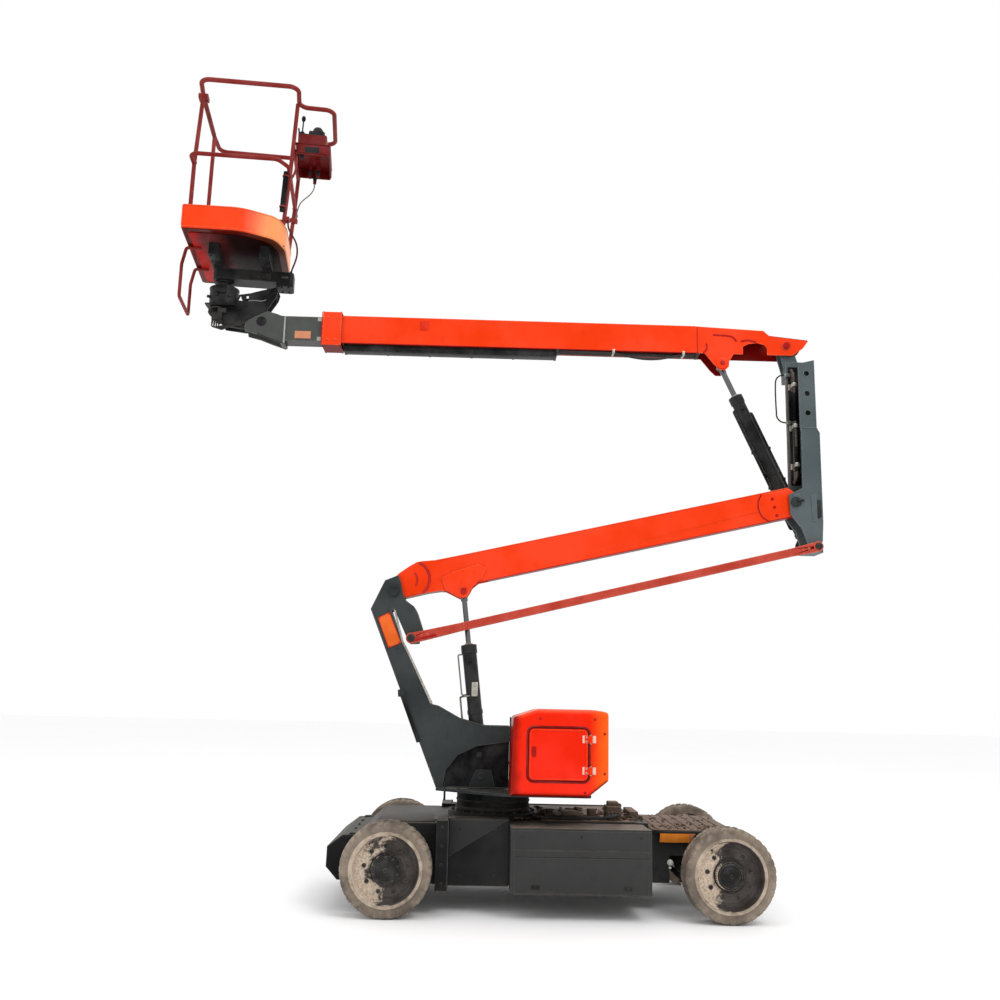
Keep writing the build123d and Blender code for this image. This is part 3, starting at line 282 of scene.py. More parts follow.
M["cast"] = paint("cast_iron", srgb(26, 24, 22), rough=0.6, vary=0.3, coat=0.0, wear=srgb(96, 88, 80), wear_amt=0.5, wear_r=0.004,
                  mottle=0.4, mottle_col=srgb(70, 60, 52), dust=srgb(120, 104, 90), dust_amt=0.5, dust_low=0.35, grain=0.4, big=6.0)
M["hub"] = paint("hub_black", srgb(26, 26, 25), rough=0.35, vary=0.3, coat=0.3, wear=srgb(150, 146, 138), wear_amt=0.6, wear_r=0.004,
                 mottle=0.3, mottle_col=srgb(60, 52, 46), big=9.0)
M["plate"] = paint("blank_plate", srgb(228, 100, 30), rough=0.42, vary=0.12, coat=0.3, wear=srgb(250, 180, 110), wear_amt=0.5,
                   wear_r=0.003, mottle=0.15, mottle_col=srgb(214, 84, 20), big=12.0)
M["plate_pale"] = paint("pale_plate", srgb(206, 138, 104), rough=0.45, vary=0.12, coat=0.2, mottle=0.2, mottle_col=srgb(180, 96, 60), big=12.0)
M["zinc"] = bare_metal("zinc_plate", srgb(176, 172, 162), 0.36, 0.4, 0.3)
M["steel"] = bare_metal("polished_rod", srgb(104, 104, 106), 0.16, 0.2, 0.15)
M["pin"] = bare_metal("pin_steel", srgb(58, 60, 60), 0.40, 0.3, 0.5)
M["pipe"] = bare_metal("pipe_steel", srgb(140, 136, 130), 0.32, 0.3, 0.4)
M["hose"] = rubber("hose_rubber", srgb(22, 21, 21), srgb(74, 66, 60), 0.35, 0.6)
M["hose_worn"] = rubber("hose_worn", srgb(52, 46, 42), srgb(112, 98, 88), 0.5, 0.7)
M["cable_red"] = rubber("cable_red", srgb(84, 20, 16), srgb(50, 16, 14), 0.5, 0.55)
M["cable_grey"] = rubber("cable_grey", srgb(122, 112, 110), srgb(90, 78, 74), 0.5, 0.55)
M["tyre"] = rubber("tyre_rubber", srgb(98, 88, 80), srgb(146, 132, 116), 0.75, 0.88)
M["tread"] = rubber("tyre_tread", srgb(84, 76, 69), srgb(160, 146, 128), 0.8, 0.9)
M["knob"] = paint("knob_black", srgb(16, 16, 16), rough=0.5, vary=0.2, coat=0.1, big=20.0)
M["red_button"] = paint("red_button", srgb(200, 16, 12), rough=0.3, vary=0.1, coat=0.5, big=20.0)
M["lens"] = paint("lamp_lens", srgb(240, 236, 226), rough=0.25, vary=0.06, coat=0.6, big=20.0)


# pale strip for the post's front flange: a painted highlight
M["post_highlight"] = paint("post_flange_highlight", srgb(176, 172, 160), rough=0.5, vary=0.2, coat=0.0, mottle=0.6, mottle_col=srgb(70, 72, 68), big=9.0)
M["edge_tan"] = paint("upright_worn_edge", srgb(122, 104, 98), rough=0.6, vary=0.25, coat=0.0, mottle=0.5, mottle_col=srgb(70, 56, 52), big=9.0)
M["fly_band"] = paint("fly_weld_band", srgb(166, 170, 166), rough=0.4, vary=0.15, coat=0.1, mottle=0.3, mottle_col=srgb(110, 114, 110), big=9.0)
M["patch_red"] = paint("patch_red", srgb(214, 40, 10), rough=0.4, vary=0.12, coat=0.2, big=12.0)
# underside red, darker overall as painted shade under the tub; near black toward +x is painted shade, brighter red
# toward -x a painted highlight
M["tub_under"] = paint("tub_underside_shade", srgb(92, 5, 3), rough=0.45, vary=0.25, coat=0.1, mottle=0.2, mottle_col=srgb(50, 4, 3), big=2.0, spec=0.04,
                       x_shade=(srgb(14, 3, 3), -2.08, -1.90, 0.95), x_light=(srgb(190, 20, 10), -2.10, -2.20, 0.7))
M["marker"] = paint("marker_plate", srgb(246, 146, 44), rough=0.45, vary=0.12, coat=0.2, mottle=0.25, mottle_col=srgb(226, 92, 20), big=9.0)
M["litter"] = paint("deck_litter", srgb(88, 70, 58), rough=0.9, vary=0.4, coat=0.0, mottle=0.7, mottle_col=srgb(66, 58, 44), spots=srgb(168, 124, 112), big=14.0, spec=0.03)
M["ball_white"] = paint("ball_joint_pale", srgb(214, 212, 206), rough=0.4, vary=0.1, coat=0.2, mottle=0.3, mottle_col=srgb(140, 136, 128), big=20.0)
M["hinge_pale"] = paint("hinge_pale", srgb(236, 190, 172), rough=0.5, vary=0.12, coat=0.0, mottle=0.3, mottle_col=srgb(220, 120, 96), big=20.0)
# dark red round the door opening: painted shade of the door joint
M["joint_shade"] = paint("door_joint_shade_red", srgb(132, 10, 4), rough=0.6, vary=0.25, coat=0.0, big=8.0)


def rim_material():
    """Dusty wheel disc: dried pale mud thrown to one side over brown-grey paint."""
    t = Tree("rim_dusty")
    a = t.noise(7.0, 8.0, 0.7, distortion=0.6)
    f = t.noise(70.0, 6.0, 0.72)
    base = t.mix(t.ramp(t.noise(12.0, 5.0), 0.35, 0.65), srgb(46, 38, 32), srgb(72, 66, 63))
    pale = t.mix(t.ramp(f, 0.35, 0.7), srgb(214, 198, 178), srgb(160, 140, 122))
    x = t.axis(0)
    # each axle's own left half is where the mud dried
    side = t.math("MINIMUM", t.math("ABSOLUTE", t.math("ADD", x, 0.599 + 0.155)), t.math("ABSOLUTE", t.math("ADD", x, 0.155 - 1.479)))
    m = t.ramp(t.math("ADD", side, t.ramp(a, 0.3, 0.7, -0.11, 0.11)), 0.14, 0.07)
    t.link(t.mix(m, base, pale), t.bsdf.inputs["Base Color"])
    t.link(t.ramp(f, 0.3, 0.7, 0.55, 0.9), t.bsdf.inputs["Roughness"])
    b = t.bump(f, 0.4, 0.0012)
    t.link(t.bump(a, 0.3, 0.004, b), t.bsdf.inputs["Normal"])
    return t.mat


M["rim"] = rim_material()
M["rim_edge"] = rubber("rim_edge_dust", srgb(128, 114, 100), srgb(204, 188, 168), 0.75, 0.8)

# CAD nodes and the material each one shows
LOOKS = (
    ("chassis", ("chassis_frame", "chassis_nose", "frame_plates")), ("box", ("battery_boxes",)), ("black_matt", ("batteries", "knuckle_near", "knuckle_far", "drive_axle", "steer_axle", "steer_link", "slew_ring")),
    ("cast", ("power_units", "counterweight",
              "swing_motor")),
    ("grey", ("kingpost",)), ("hood", ("hood_near", "hood_far", "hood_door_near", "hood_door_far")),
    ("orange", ("lower_boom", "upper_boom")), ("brick", ("tie_rod",)), ("upright", ("upright",)),
    ("black", ("lower_cylinder_barrel", "upper_cylinder_barrel", "cable_tray", "platform_bracket", "basket_support", "rotator")),
    ("steel", ("lower_cylinder_rod", "upper_cylinder_rod")), ("fly", ("fly_boom",)), ("tub", ("basket_tub",)),
    ("rail", ("basket_rails", "entry_step")), ("bar", ("entry_bar",)), ("console", ("control_console",)),
    ("tyre", ("tyre_drive_near", "tyre_drive_far", "tyre_steer_near", "tyre_steer_far")),
    ("hose", ("upright_hoses", "boom_hoses", "upright_loop_hose", "console_cable", "tub_hose")),
    ("rim", ("rim_drive_near", "rim_drive_far", "rim_steer_near", "rim_steer_far")),
)
for key, names in LOOKS:
    for n in names:
        if n not in NODES:
            continue
        o = NODES[n]
        o.data.materials.clear()
        o.data.materials.append(M[key])

# sheet and plate edges are broken slightly, as cut steel is
for n, w in (("chassis_frame", 0.004), ("chassis_nose", 0.010), ("frame_plates", 0.004), ("battery_boxes", 0.006), ("kingpost", 0.0025),
             ("lower_boom", 0.005), ("upper_boom", 0.004), ("upright", 0.0025), ("tie_rod", 0.006), ("fly_boom", 0.003),
             ("platform_bracket", 0.002), ("basket_support", 0.003), ("cable_tray", 0.003), ("steer_axle", 0.003),
             ("knuckle_near", 0.003), ("knuckle_far", 0.003), ("drive_axle", 0.004), ("hood_door_near", 0.002), ("hood_door_far", 0.002),
             ("control_console", 0.003), ("batteries", 0.006), ("power_units", 0.01), ("counterweight", 0.02)):
    o = NODES[n]
    weld = o.modifiers.new("weld", "WELD")
    weld.merge_threshold = 0.00002
    bev = o.modifiers.new("broken_edges", "BEVEL")
    bev.width = w
    bev.segments = 2
    bev.limit_method = "ANGLE"
    bev.angle_limit = math.radians(40)
    bev.harden_normals = False


# ------------------------------------------------------------------ shape helpers
def frame_of(d):
    d = Vector(d).normalized()
    up = Vector((0, 0, 1)) if abs(d.z) < 0.95 else Vector((1, 0, 0))
    x = up.cross(d).normalized()
    return x, d.cross(x).normalized(), d


class Geo:
    """Gathers like shapes into one mesh piece."""
    def __init__(self, name):
        self.name = name
        self.v, self.f = [], []

    def add(self, verts, faces):
        k = len(self.v)
        self.v += [tuple(v) for v in verts]
        self.f += [tuple(i + k for i in f) for f in faces]
        return self

    def lathe(self, p, d, prof, seg=32, close=False, wob=None):
        """prof is (distance along d, radius) pairs; the ends are capped unless the profile closes on itself."""
        x, y, z = frame_of(d)
        p = Vector(p)
        vs, fs = [], []
        m = len(prof)
        for i in range(seg):
            a = 2 * math.pi * i / seg
            e = x * math.cos(a) + y * math.sin(a)
            for j, (s, r) in enumerate(prof):
                rr = r + (wob(i, j) if wob else 0.0)
                vs.append(p + z * s + e * rr)
        for i in range(seg):
            k = (i + 1) % seg
            for j in range(m if close else m - 1):
                j2 = (j + 1) % m
                fs.append((i * m + j, k * m + j, k * m + j2, i * m + j2))
        if not close:
            fs.append(tuple(i * m for i in reversed(range(seg))))
            fs.append(tuple(i * m + m - 1 for i in range(seg)))
        return self.add(vs, fs)

    def cyl(self, p0, p1, r, seg=24, ch=None, r1=None):
        p0, p1 = Vector(p0), Vector(p1)
        L = (p1 - p0).length
        r1 = r if r1 is None else r1
        ch = min(0.18 * min(r, r1), 0.003, L / 4) if ch is None else ch
        return self.lathe(p0, p1 - p0, [(0, r - ch), (ch, r), (L - ch, r1), (L, r1 - ch)], seg)

    def ring(self, p, d, r, w, h, seg=48, ch=0.0015):
        """A flat ring of mean radius r, radial width w and height h along d."""
        a, b = r - w / 2, r + w / 2
        return self.lathe(p, d, [(0, a), (0, b - ch), (ch, b), (h - ch, b), (h, b - ch), (h, a + ch), (h - ch, a), (ch, a)], seg, close=True)

    def torus(self, p, d, r, t, seg=48, sub=10):
        return self.lathe(p, d, [(t * math.sin(2 * math.pi * j / sub), r - t * math.cos(2 * math.pi * j / sub)) for j in range(sub)], seg,
                          close=True)

    def bolt(self, p, d, r, washer=True, hexa=True):
        x, y, z = frame_of(d)
        p = Vector(p)
        if washer:
            self.lathe(p, d, [(0, r * 1.35), (r * 0.18, r * 1.35), (r * 0.25, r * 1.25)], 16)
        h = r * 0.75
        n = 6 if hexa else 14
        self.lathe(p + z * r * 0.15, d, [(0, r), (h * 0.8, r), (h, r * 0.86)], n)
        return self

    def rbox(self, c, s, r=0.003, R=None, seg=2):
        bm = bmesh.new()
        bmesh.ops.create_cube(bm, size=1.0)
        bmesh.ops.scale(bm, vec=Vector(s), verts=bm.verts)
        r = min(r, 0.45 * min(s))
        if r > 0:
            bmesh.ops.bevel(bm, geom=bm.edges[:], offset=r, segments=seg, profile=0.5, affect="EDGES")
        m = Matrix.Translation(Vector(c)) @ (R.to_4x4() if R else Matrix.Identity(4))
        bmesh.ops.transform(bm, matrix=m, verts=bm.verts)
        bm.verts.index_update()
        self.add([v.co.copy() for v in bm.verts], [[v.index for v in f.verts] for f in bm.faces])
        bm.free()
        return self

    def prism(self, pts, a, b, r=0.002, plane="XZ", seg=2, place=None):
        """An outline in a plane, from a to b square to it, with broken edges."""
        bm = bmesh.new()
        if plane == "XZ":
            lo = [bm.verts.new((x, a, z)) for x, z in pts]
            hi = [bm.verts.new((x, b, z)) for x, z in pts]
        elif plane == "XY":
            lo = [bm.verts.new((x, y, a)) for x, y in pts]
            hi = [bm.verts.new((x, y, b)) for x, y in pts]
        else:
            lo = [bm.verts.new((a, y, z)) for y, z in pts]
            hi = [bm.verts.new((b, y, z)) for y, z in pts]
        n = len(pts)
        bm.faces.new(lo)
        bm.faces.new(list(reversed(hi)))
        for i in range(n):
            j = (i + 1) % n
            bm.faces.new((lo[j], lo[i], hi[i], hi[j]))
        bmesh.ops.recalc_face_normals(bm, faces=bm.faces)
        if r > 0:
            bmesh.ops.bevel(bm, geom=bm.edges[:], offset=r, segments=seg, profile=0.5, affect="EDGES", clamp_overlap=True)
        if place is not None:
            bmesh.ops.transform(bm, matrix=place, verts=bm.verts)
        bm.verts.index_update()
        self.add([v.co.copy() for v in bm.verts], [[v.index for v in f.verts] for f in bm.faces])
        bm.free()
        return self

    def tube(self, pts, r, seg=10, smooth=0, flat=None):
        """A bar along points; smooth rounds the line by corner cutting."""
        P = [Vector(p) for p in pts]
        for _ in range(smooth):
            Q = [P[0]]
            for i in range(len(P) - 1):
                if i > 0:
                    Q.append(P[i] * 0.75 + P[i + 1] * 0.25)
                if i < len(P) - 2:
                    Q.append(P[i] * 0.25 + P[i + 1] * 0.75)
            Q.append(P[-1])
            P = Q
        T = [(P[min(i + 1, len(P) - 1)] - P[max(i - 1, 0)]).normalized() for i in range(len(P))]
        x, y, _ = frame_of(T[0])
        vs, fs = [], []
        for i, p in enumerate(P):
            if i:
                ax = T[i - 1].cross(T[i])
                if ax.length > 1e-9:
                    q = Matrix.Rotation(T[i - 1].angle(T[i]), 3, ax.normalized())
                    x, y = q @ x, q @ y
            for k in range(seg):
                a = 2 * math.pi * k / seg
                u, w = (r, r) if flat is None else flat
                vs.append(p + x * u * math.cos(a) + y * w * math.sin(a))
        m = len(P)
        for i in range(m - 1):
            for k in range(seg):
                k2 = (k + 1) % seg
                fs.append((i * seg + k, i * seg + k2, (i + 1) * seg + k2, (i + 1) * seg + k))
        fs.append(tuple(reversed(range(seg))))
        fs.append(tuple((m - 1) * seg + k for k in range(seg)))
        return self.add(vs, fs)

    def weld_bead(self, pts, r=0.004, step=0.006, seed=1):
        """A rippled weld bead along points."""
        P = [Vector(p) for p in pts]
        out = []
        rnd = random.Random(seed)
        for a, b in zip(P, P[1:]):
            n = max(1, int((b - a).length / step))
            out += [a.lerp(b, i / n) for i in range(n)]
        out.append(P[-1])
        x, y, _ = frame_of(out[1] - out[0])
        seg = 6
        vs, fs = [], []
        for i, p in enumerate(out):
            t = (out[min(i + 1, len(out) - 1)] - out[max(i - 1, 0)]).normalized()
            x, y, _ = frame_of(t)
            rr = r * (0.86 + 0.28 * (i % 2) + 0.1 * rnd.random())
            for k in range(seg):
                a = 2 * math.pi * k / seg
                vs.append(p + x * rr * math.cos(a) + y * rr * math.sin(a))
        for i in range(len(out) - 1):
            for k in range(seg):
                k2 = (k + 1) % seg
                fs.append((i * seg + k, i * seg + k2, (i + 1) * seg + k2, (i + 1) * seg + k))
        fs.append(tuple(reversed(range(seg))))
        fs.append(tuple((len(out) - 1) * seg + k for k in range(seg)))
        return self.add(vs, fs)

    def done(self, mat, body, angle=35):
        me = bpy.data.meshes.new(self.name)
        me.from_pydata([tuple(v) for v in self.v], [], self.f)
        me.validate()
        bm = bmesh.new()
        bm.from_mesh(me)
        bmesh.ops.recalc_face_normals(bm, faces=bm.faces)
        bm.to_mesh(me)
        bm.free()
        for p in me.polygons:
            p.use_smooth = True
        me.set_sharp_from_angle(angle=math.radians(angle))
        o = bpy.data.objects.new(self.name, me)
        scene.collection.objects.link(o)
        me.materials.append(M[mat])
        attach(o, body)
        return o


def mm(*p):
    return tuple(v / 1000.0 for v in p)


LB_PIN, LB_ANG, LB_LEN = (-0.654, 1.999), math.radians(13.96), 2.848
CA, SA = math.cos(LB_ANG), math.sin(LB_ANG)
TR_PIN = (-0.525, 1.684)
LB_END = (LB_PIN[0] + LB_LEN * CA, LB_PIN[1] + LB_LEN * SA)
TR_END = (TR_PIN[0] + LB_LEN * CA, TR_PIN[1] + LB_LEN * SA)
UB_PIN = (LB_END[0] + 0.037, LB_END[1] + 1.219)


def lb(u, v, y):
    """A point on the lower boom: u along, v square, millimetres, at y."""
    u, v = u / 1000.0, v / 1000.0
    return (LB_PIN[0] + u * CA - v * SA, y / 1000.0, LB_PIN[1] + u * SA + v * CA)


def lb_plane(y_near):
    """Matrix that takes an outline in local x, z at y=0 to the lower boom's side face."""
    return Matrix(((CA, 0, -SA, LB_PIN[0]), (0, 1, 0, 0), (SA, 0, CA, LB_PIN[1]), (0, 0, 0, 1)))


BSK = (-1.890, 0.095)
CB, SB = math.cos(math.radians(6.0)), math.sin(math.radians(6.0))


def bk(x, y, z):
    """A point in the platform's own frame, millimetres."""
    x, y = x / 1000.0, y / 1000.0
    return (BSK[0] + x * CB - y * SB, BSK[1] + x * SB + y * CB, z / 1000.0)


BSK_M = Matrix(((CB, -SB, 0, BSK[0]), (SB, CB, 0, BSK[1]), (0, 0, 1, 0), (0, 0, 0, 1)))
BSK_R = BSK_M.to_3x3()


# ------------------------------------------------------------------ wheels
WY, WZ = 0.661, 0.2795
WHEELS = (("drive_near", -0.599, -1), ("drive_far", -0.599, 1), ("steer_near", 1.479, -1), ("steer_far", 1.479, 1))
CARCASS = ((-.080, .2222), (-.0885, .2245), (-.0885, .231), (-.0872, .2335), (-.0885, .237), (-.0888, .254), (-.0855, .2670), (-.078, .2725),
           (-.04, .2745), (0, .2748), (.04, .2745), (.078, .2725), (.0855, .2670), (.0888, .254), (.0885, .237), (.0872, .2335),
           (.0885, .231), (.0885, .2245), (.080, .2222))
LUG = ((.0889, .2560), (.0884, .2660), (.0835, .2740), (.0720, .2785), (.0450, .2794), (.0120, .2793))   # axial place, outer radius


def lugs(g, c, side, n, rnd):
    for s in (-1, 1):
        for k in range(n):
            a0 = 2 * math.pi * (k + (0.5 if s > 0 else 0.0)) / n + rnd.uniform(-0.006, 0.006)
            wear = rnd.uniform(0.0, 0.0022)
            vs = []
            for ax, ro in LUG:
                skew = (0.089 - ax) * 1.15 * s
                ro = ro - wear
                ri = min(ro - 0.004, 0.2695)
                w_out, w_in = 0.0150, 0.0180
                for r, w in ((ro, -w_out), (ro, w_out), (ri, w_in), (ri, -w_in)):
                    a = a0 + skew + w / 0.27
                    vs.append(c + Vector((r * math.cos(a), s * ax, r * math.sin(a))))
            fs = []
            m = len(LUG)
            for j in range(m - 1):
                for q in range(4):
                    q2 = (q + 1) % 4
                    fs.append((4 * j + q, 4 * j + q2, 4 * j + 4 + q2, 4 * j + 4 + q))
            fs.append((0, 1, 2, 3))
            fs.append((4 * m - 4, 4 * m - 1, 4 * m - 2, 4 * m - 3))
            g.add(vs, fs)


for name, wx, side in WHEELS:
    body = "wheel_" + name
    c, d = Vector((wx, side * WY, WZ)), Vector((0, side, 0))
    rnd = random.Random(11 + len(name) + int(wx * 10) + side)
    g = Geo("tyre_solid_" + name)
    bumps = [rnd.uniform(-0.0006, 0.0004) for _ in range(96)]
    g.lathe(c, d, CARCASS, 96, close=True, wob=lambda i, j: bumps[i] if CARCASS[j][1] > 0.24 else 0.0)
    o = g.done("tyre", body, 30)
    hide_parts("tyre_" + name)
    g = Geo("tyre_lugs_" + name)
    lugs(g, c, side, 36, rnd)
    g.done("tread", body, 30)
    # dusty outer flange and the rolled edge of the rim
    g = Geo("rim_flange_" + name)
    g.lathe(c + d * 0.0795, d, [(0, .2040), (0, .2225), (.004, .2235), (.0065, .222), (.0072, .218), (.0045, .2145), (.0040, .2100), (.0060, .2075),
                                (.0060, .2050), (.003, .2030)], 72, close=True)
    g.done("rim_edge", body, 40)
    # disc: pressed ring, wheel bolts
    g = Geo("rim_disc_detail_" + name)
    g.lathe(c + d * 0.0255, d, [(0, .104), (0, .122), (.0025, .1205), (.0035, .118), (.0035, .108), (.0025, .1055)], 64, close=True)
    g.lathe(c + d * 0.0255, d, [(0, .150), (0, .166), (.0018, .1645), (.0024, .162), (.0024, .154), (.0018, .1515)], 64, close=True)
    g.done("rim", body, 40)
    g = Geo("wheel_bolts_" + name)
    for k in range(9):
        a = 2 * math.pi * (k + 0.3) / 9
        g.bolt(c + Vector((0.134 * math.cos(a), 0, 0.134 * math.sin(a))) + d * 0.0258, d, 0.0105)
    # valve-like plug, so a turning wheel shows
    a = 2.2
    g.cyl(c + Vector((0.178 * math.cos(a), 0, 0.178 * math.sin(a))) + d * 0.024, c + Vector((0.178 * math.cos(a), 0, 0.178 * math.sin(a))) + d * 0.036,
          0.006)
    g.done("hub", body, 35)
    g = Geo("hub_cap_" + name)
    if "drive" in name:
        g.lathe(c + d * 0.026, d, [(0, .101), (.012, .101), (.015, .098), (.0155, .091), (.040, .089), (.046, .086), (.048, .078), (.047, .066),
                                   (.052, .062), (.058, .056), (.0605, .044), (.0605, .0)][:-1], 10)
        g.lathe(c + d * 0.066, d, [(0, .050), (.014, .050), (.018, .046), (.0195, .030)], 40)
        for k in range(10):
            a = 2 * math.pi * (k + 0.5) / 10
            g.bolt(c + Vector((0.075 * math.cos(a), 0, 0.075 * math.sin(a))) + d * 0.0725, d, 0.0062, washer=False)
        g.cyl(c + d * 0.0845, c + d * 0.0882, 0.012, 6)
    else:
        g.lathe(c + d * 0.026, d, [(0, .098), (.010, .098), (.013, .095), (.014, .088), (.036, .085), (.043, .081), (.0435, .074)], 40)
        g.lathe(c + d * 0.062, d, [(0, .070), (.010, .070), (.0125, .0665), (.010, .0600), (.010, .0560), (.018, .0540), (.0235, .0480), (.0255, .036)], 40)
        for k in range(6):
            a = 2 * math.pi * (k + 0.5) / 6
            g.bolt(c + Vector((0.078 * math.cos(a), 0, 0.078 * math.sin(a))) + d * 0.0690, d, 0.0060, washer=False)
        g.cyl(c + d * 0.086, c + d * 0.0885, 0.010, 6)
    g.done("hub", body, 30)

# ------------------------------------------------------------------ chassis
for tag, s in (("near", -1), ("far", 1)):
    # pressed front of the battery box: three panels, folded lip between, edge flanges
    g = Geo("battery_box_cover_" + tag)
    for z0, z1, t in ((0.412, 0.523, 0.004), (0.372, 0.406, 0.006), (0.162, 0.366, 0.004)):
        g.rbox((0.578, s * (0.7205 + t / 2), (z0 + z1) / 2), (0.812, t, z1 - z0), 0.0015)
    g.rbox((0.578, s * 0.7235, 0.409), (0.830, 0.007, 0.0045), 0.0015)
    for x in (0.162, 0.994):
        g.rbox((x, s * 0.7230, 0.3425), (0.020, 0.006, 0.362), 0.002)
    g.rbox((0.578, s * 0.7100, 0.5325), (0.858, 0.024, 0.007), 0.0025)
    g.rbox((0.578, s * 0.7225, 0.158), (0.830, 0.005, 0.006), 0.002)
    g.done("box", "chassis")
    g = Geo("battery_box_fastenings_" + tag)
    for x in (0.215, 0.578, 0.940):
        g.bolt((x, s * 0.7245, 0.490), (0, s, 0), 0.006)
    for x in (0.30, 0.86):
        g.rbox((x, s * 0.7270, 0.196), (0.05, 0.005, 0.022), 0.002)
        g.cyl((x, s * 0.7245, 0.196), (x, s * 0.7320, 0.196), 0.007)
    g.done("black", "chassis")
    # marker plate, blank, on the frame beside the steered wheel
    g = Geo("marker_plate_" + tag)
    lean = Matrix.Translation((0, s * .4325, .4835)) @ Matrix.Rotation(-s * math.radians(26), 4, "X")   # leans in, clear of the steered tyre
    g.prism([(1.106, 0), (1.331, 0), (1.296, -.0630), (1.106, -.0630)], -.0016, .0016, 0.0010, place=lean)
    g.done("marker", "chassis")
    g = Geo("marker_corner_" + tag)
    g.prism([(1.292, -.001), (1.3295, -.001), (1.308, -.039), (1.296, -.039)], s * .0016, s * .0028, 0.0004, place=lean)
    g.done("plate_pale", "chassis")
    # cheek and waist details
    g = Geo("cheek_details_" + tag)
    for z in (0.19, 0.30, 0.41, 0.52):
        g.bolt((-0.270, s * 0.640, z), (0, s, 0), 0.0085)
    g.rbox((-0.238, s * 0.600, 0.355), (0.010, 0.086, 0.412), 0.003)
    g.rbox((-0.302, s * 0.600, 0.355), (0.006, 0.086, 0.412), 0.002)
    for z in (0.22, 0.50):
        for x in (-0.16, 0.06):
            g.bolt((x, s * 0.5005, z), (0, s, 0), 0.008)
    g.done("chassis", "chassis")
    # lighter grey triangle on the waist's side, where light falls on it: painted light; with a lighter grey strip up
    # the cheek's edge
    g = Geo("waist_lit_patch_" + tag)
    g.prism([(-0.226, 0.555), (0.145, 0.555), (-0.226, 0.33)], s * 0.5035 - 0.0035, s * 0.5035 + 0.0035, 0.002)
    g.rbox((-0.231, s * 0.637, 0.355), (0.006, 0.008, 0.408), 0.002)
    g.done("box", "chassis")
    # weld seams along the frame
    g = Geo("frame_welds_" + tag)
    g.weld_bead([(1.05, s * 0.370, 0.4835), (1.60, s * 0.370, 0.4835)], 0.0035, 0.007, 3)
    g.weld_bead([(-0.235, s * 0.500, 0.162), (0.145, s * 0.500, 0.162)], 0.0035, 0.007, 4)
    g.done("chassis", "chassis")

# deck plates and what lies on them
g = Geo("deck_plates")
g.rbox((0.66, 0.0, 0.5385), (0.60, 0.70, 0.005), 0.002)
g.rbox((1.32, 0.0, 0.5025), (0.52, 0.84, 0.005), 0.002)
for k in range(9):
    g.rbox((0.40 + 0.068 * k, 0.0, 0.5430), (0.016, 0.64, 0.006), 0.002)
for k in range(7):
    g.rbox((1.10 + 0.072 * k, 0.0, 0.5065), (0.014, 0.78, 0.005), 0.002)
g.done("deck", "chassis")
g = Geo("deck_block")
g.rbox((0.83, -0.22, 0.585), (0.10, 0.15, 0.085), 0.008)
g.rbox((0.83, -0.22, 0.640), (0.070, 0.10, 0.028), 0.006)
g.rbox((0.56, -0.27, 0.566), (0.13, 0.07, 0.048), 0.006)
g.rbox((0.99, 0.05, 0.560), (0.06, 0.30, 0.036), 0.006)
for k in range(4):
    g.cyl((0.795 + 0.023 * k, -0.295, 0.585), (0.795 + 0.023 * k, -0.315, 0.585), 0.009)
g.cyl((0.70, -0.15, 0.541), (0.70, -0.15, 0.60), 0.030)
g.done("deck", "chassis")
g = Geo("deck_litter")
rnd = random.Random(77)
for k in range(260):
    x = rnd.uniform(.20, 1.58)
    y = rnd.uniform(-.36, .36) if x < 1.03 else rnd.uniform(-.42, .42)
    if k % 3 == 0:
        y = -abs(y) * .6 - .12
    z = (.5415 if x < 1.03 else .5050) + rnd.uniform(0.0, .004)
    if .76 < x < .90 and -.32 < y < -.12:
        z = .628
    q = rnd.uniform(.007, .024) if x < 1.03 else rnd.uniform(.004, .012)
    R = Matrix.Rotation(rnd.uniform(0, 3.1), 3, "Z") @ Matrix.Rotation(rnd.uniform(-.5, .5), 3, "X")
    g.rbox((x, y, z + q * .25), (q * rnd.uniform(1.0, 2.4), q, q * rnd.uniform(.35, .8)), q * .14, R, 1)
g.done("litter", "chassis", 60)
g = Geo("deck_hoses")
for k in range(4):
    x = 0.795 + 0.023 * k
    g.tube([(x, -0.315, 0.585), (x, -0.340, 0.580), (x - 0.03 - 0.02 * k, -0.352, 0.560), (0.62 - 0.03 * k, -0.345, 0.553 + 0.004 * k), (0.42, -0.325 + 0.02 * k, 0.552),
            (0.31, -0.25 + 0.03 * k, 0.556)], 0.0085, 10, 3)
g.done("hose", "chassis")
g = Geo("nose_details")
g.rbox((-0.50, 0.0, 0.5325), (0.36, 0.92, 0.005), 0.002)
g.rbox((-0.9875, 0.0, 0.318), (0.005, 0.86, 0.10), 0.002)
for y in (-0.42, -0.21, 0.0, 0.21, 0.42):
    g.bolt((-0.84, y, 0.4510), (0, 0, 1), 0.008)
for y in (-0.46, 0.46):
    g.rbox((-0.80, y, 0.4545), (0.10, 0.05, 0.010), 0.003)
g.done("chassis", "chassis")
g = Geo("frame_web")
g.prism([(1.10, .482), (1.40, .482), (1.40, .19), (1.280, .19), (1.272, .250), (1.206, .250), (1.198, .19), (1.10, .19)], -.003, .003, .0015)
g.rbox((1.25, 0.0, .470), (.30, .05, .006), .002)
g.done("black_matt", "chassis")
g = Geo("end_plate_bolts")
for y in (-0.34, -0.17, 0.0, 0.17, 0.34):
    for z in (0.215, 0.425):
        g.bolt((1.6400, y, z), (1, 0, 0), 0.008)
g.rbox((1.6410, 0.0, 0.32), (0.004, 0.26, 0.12), 0.0015)
g.done("chassis", "chassis")
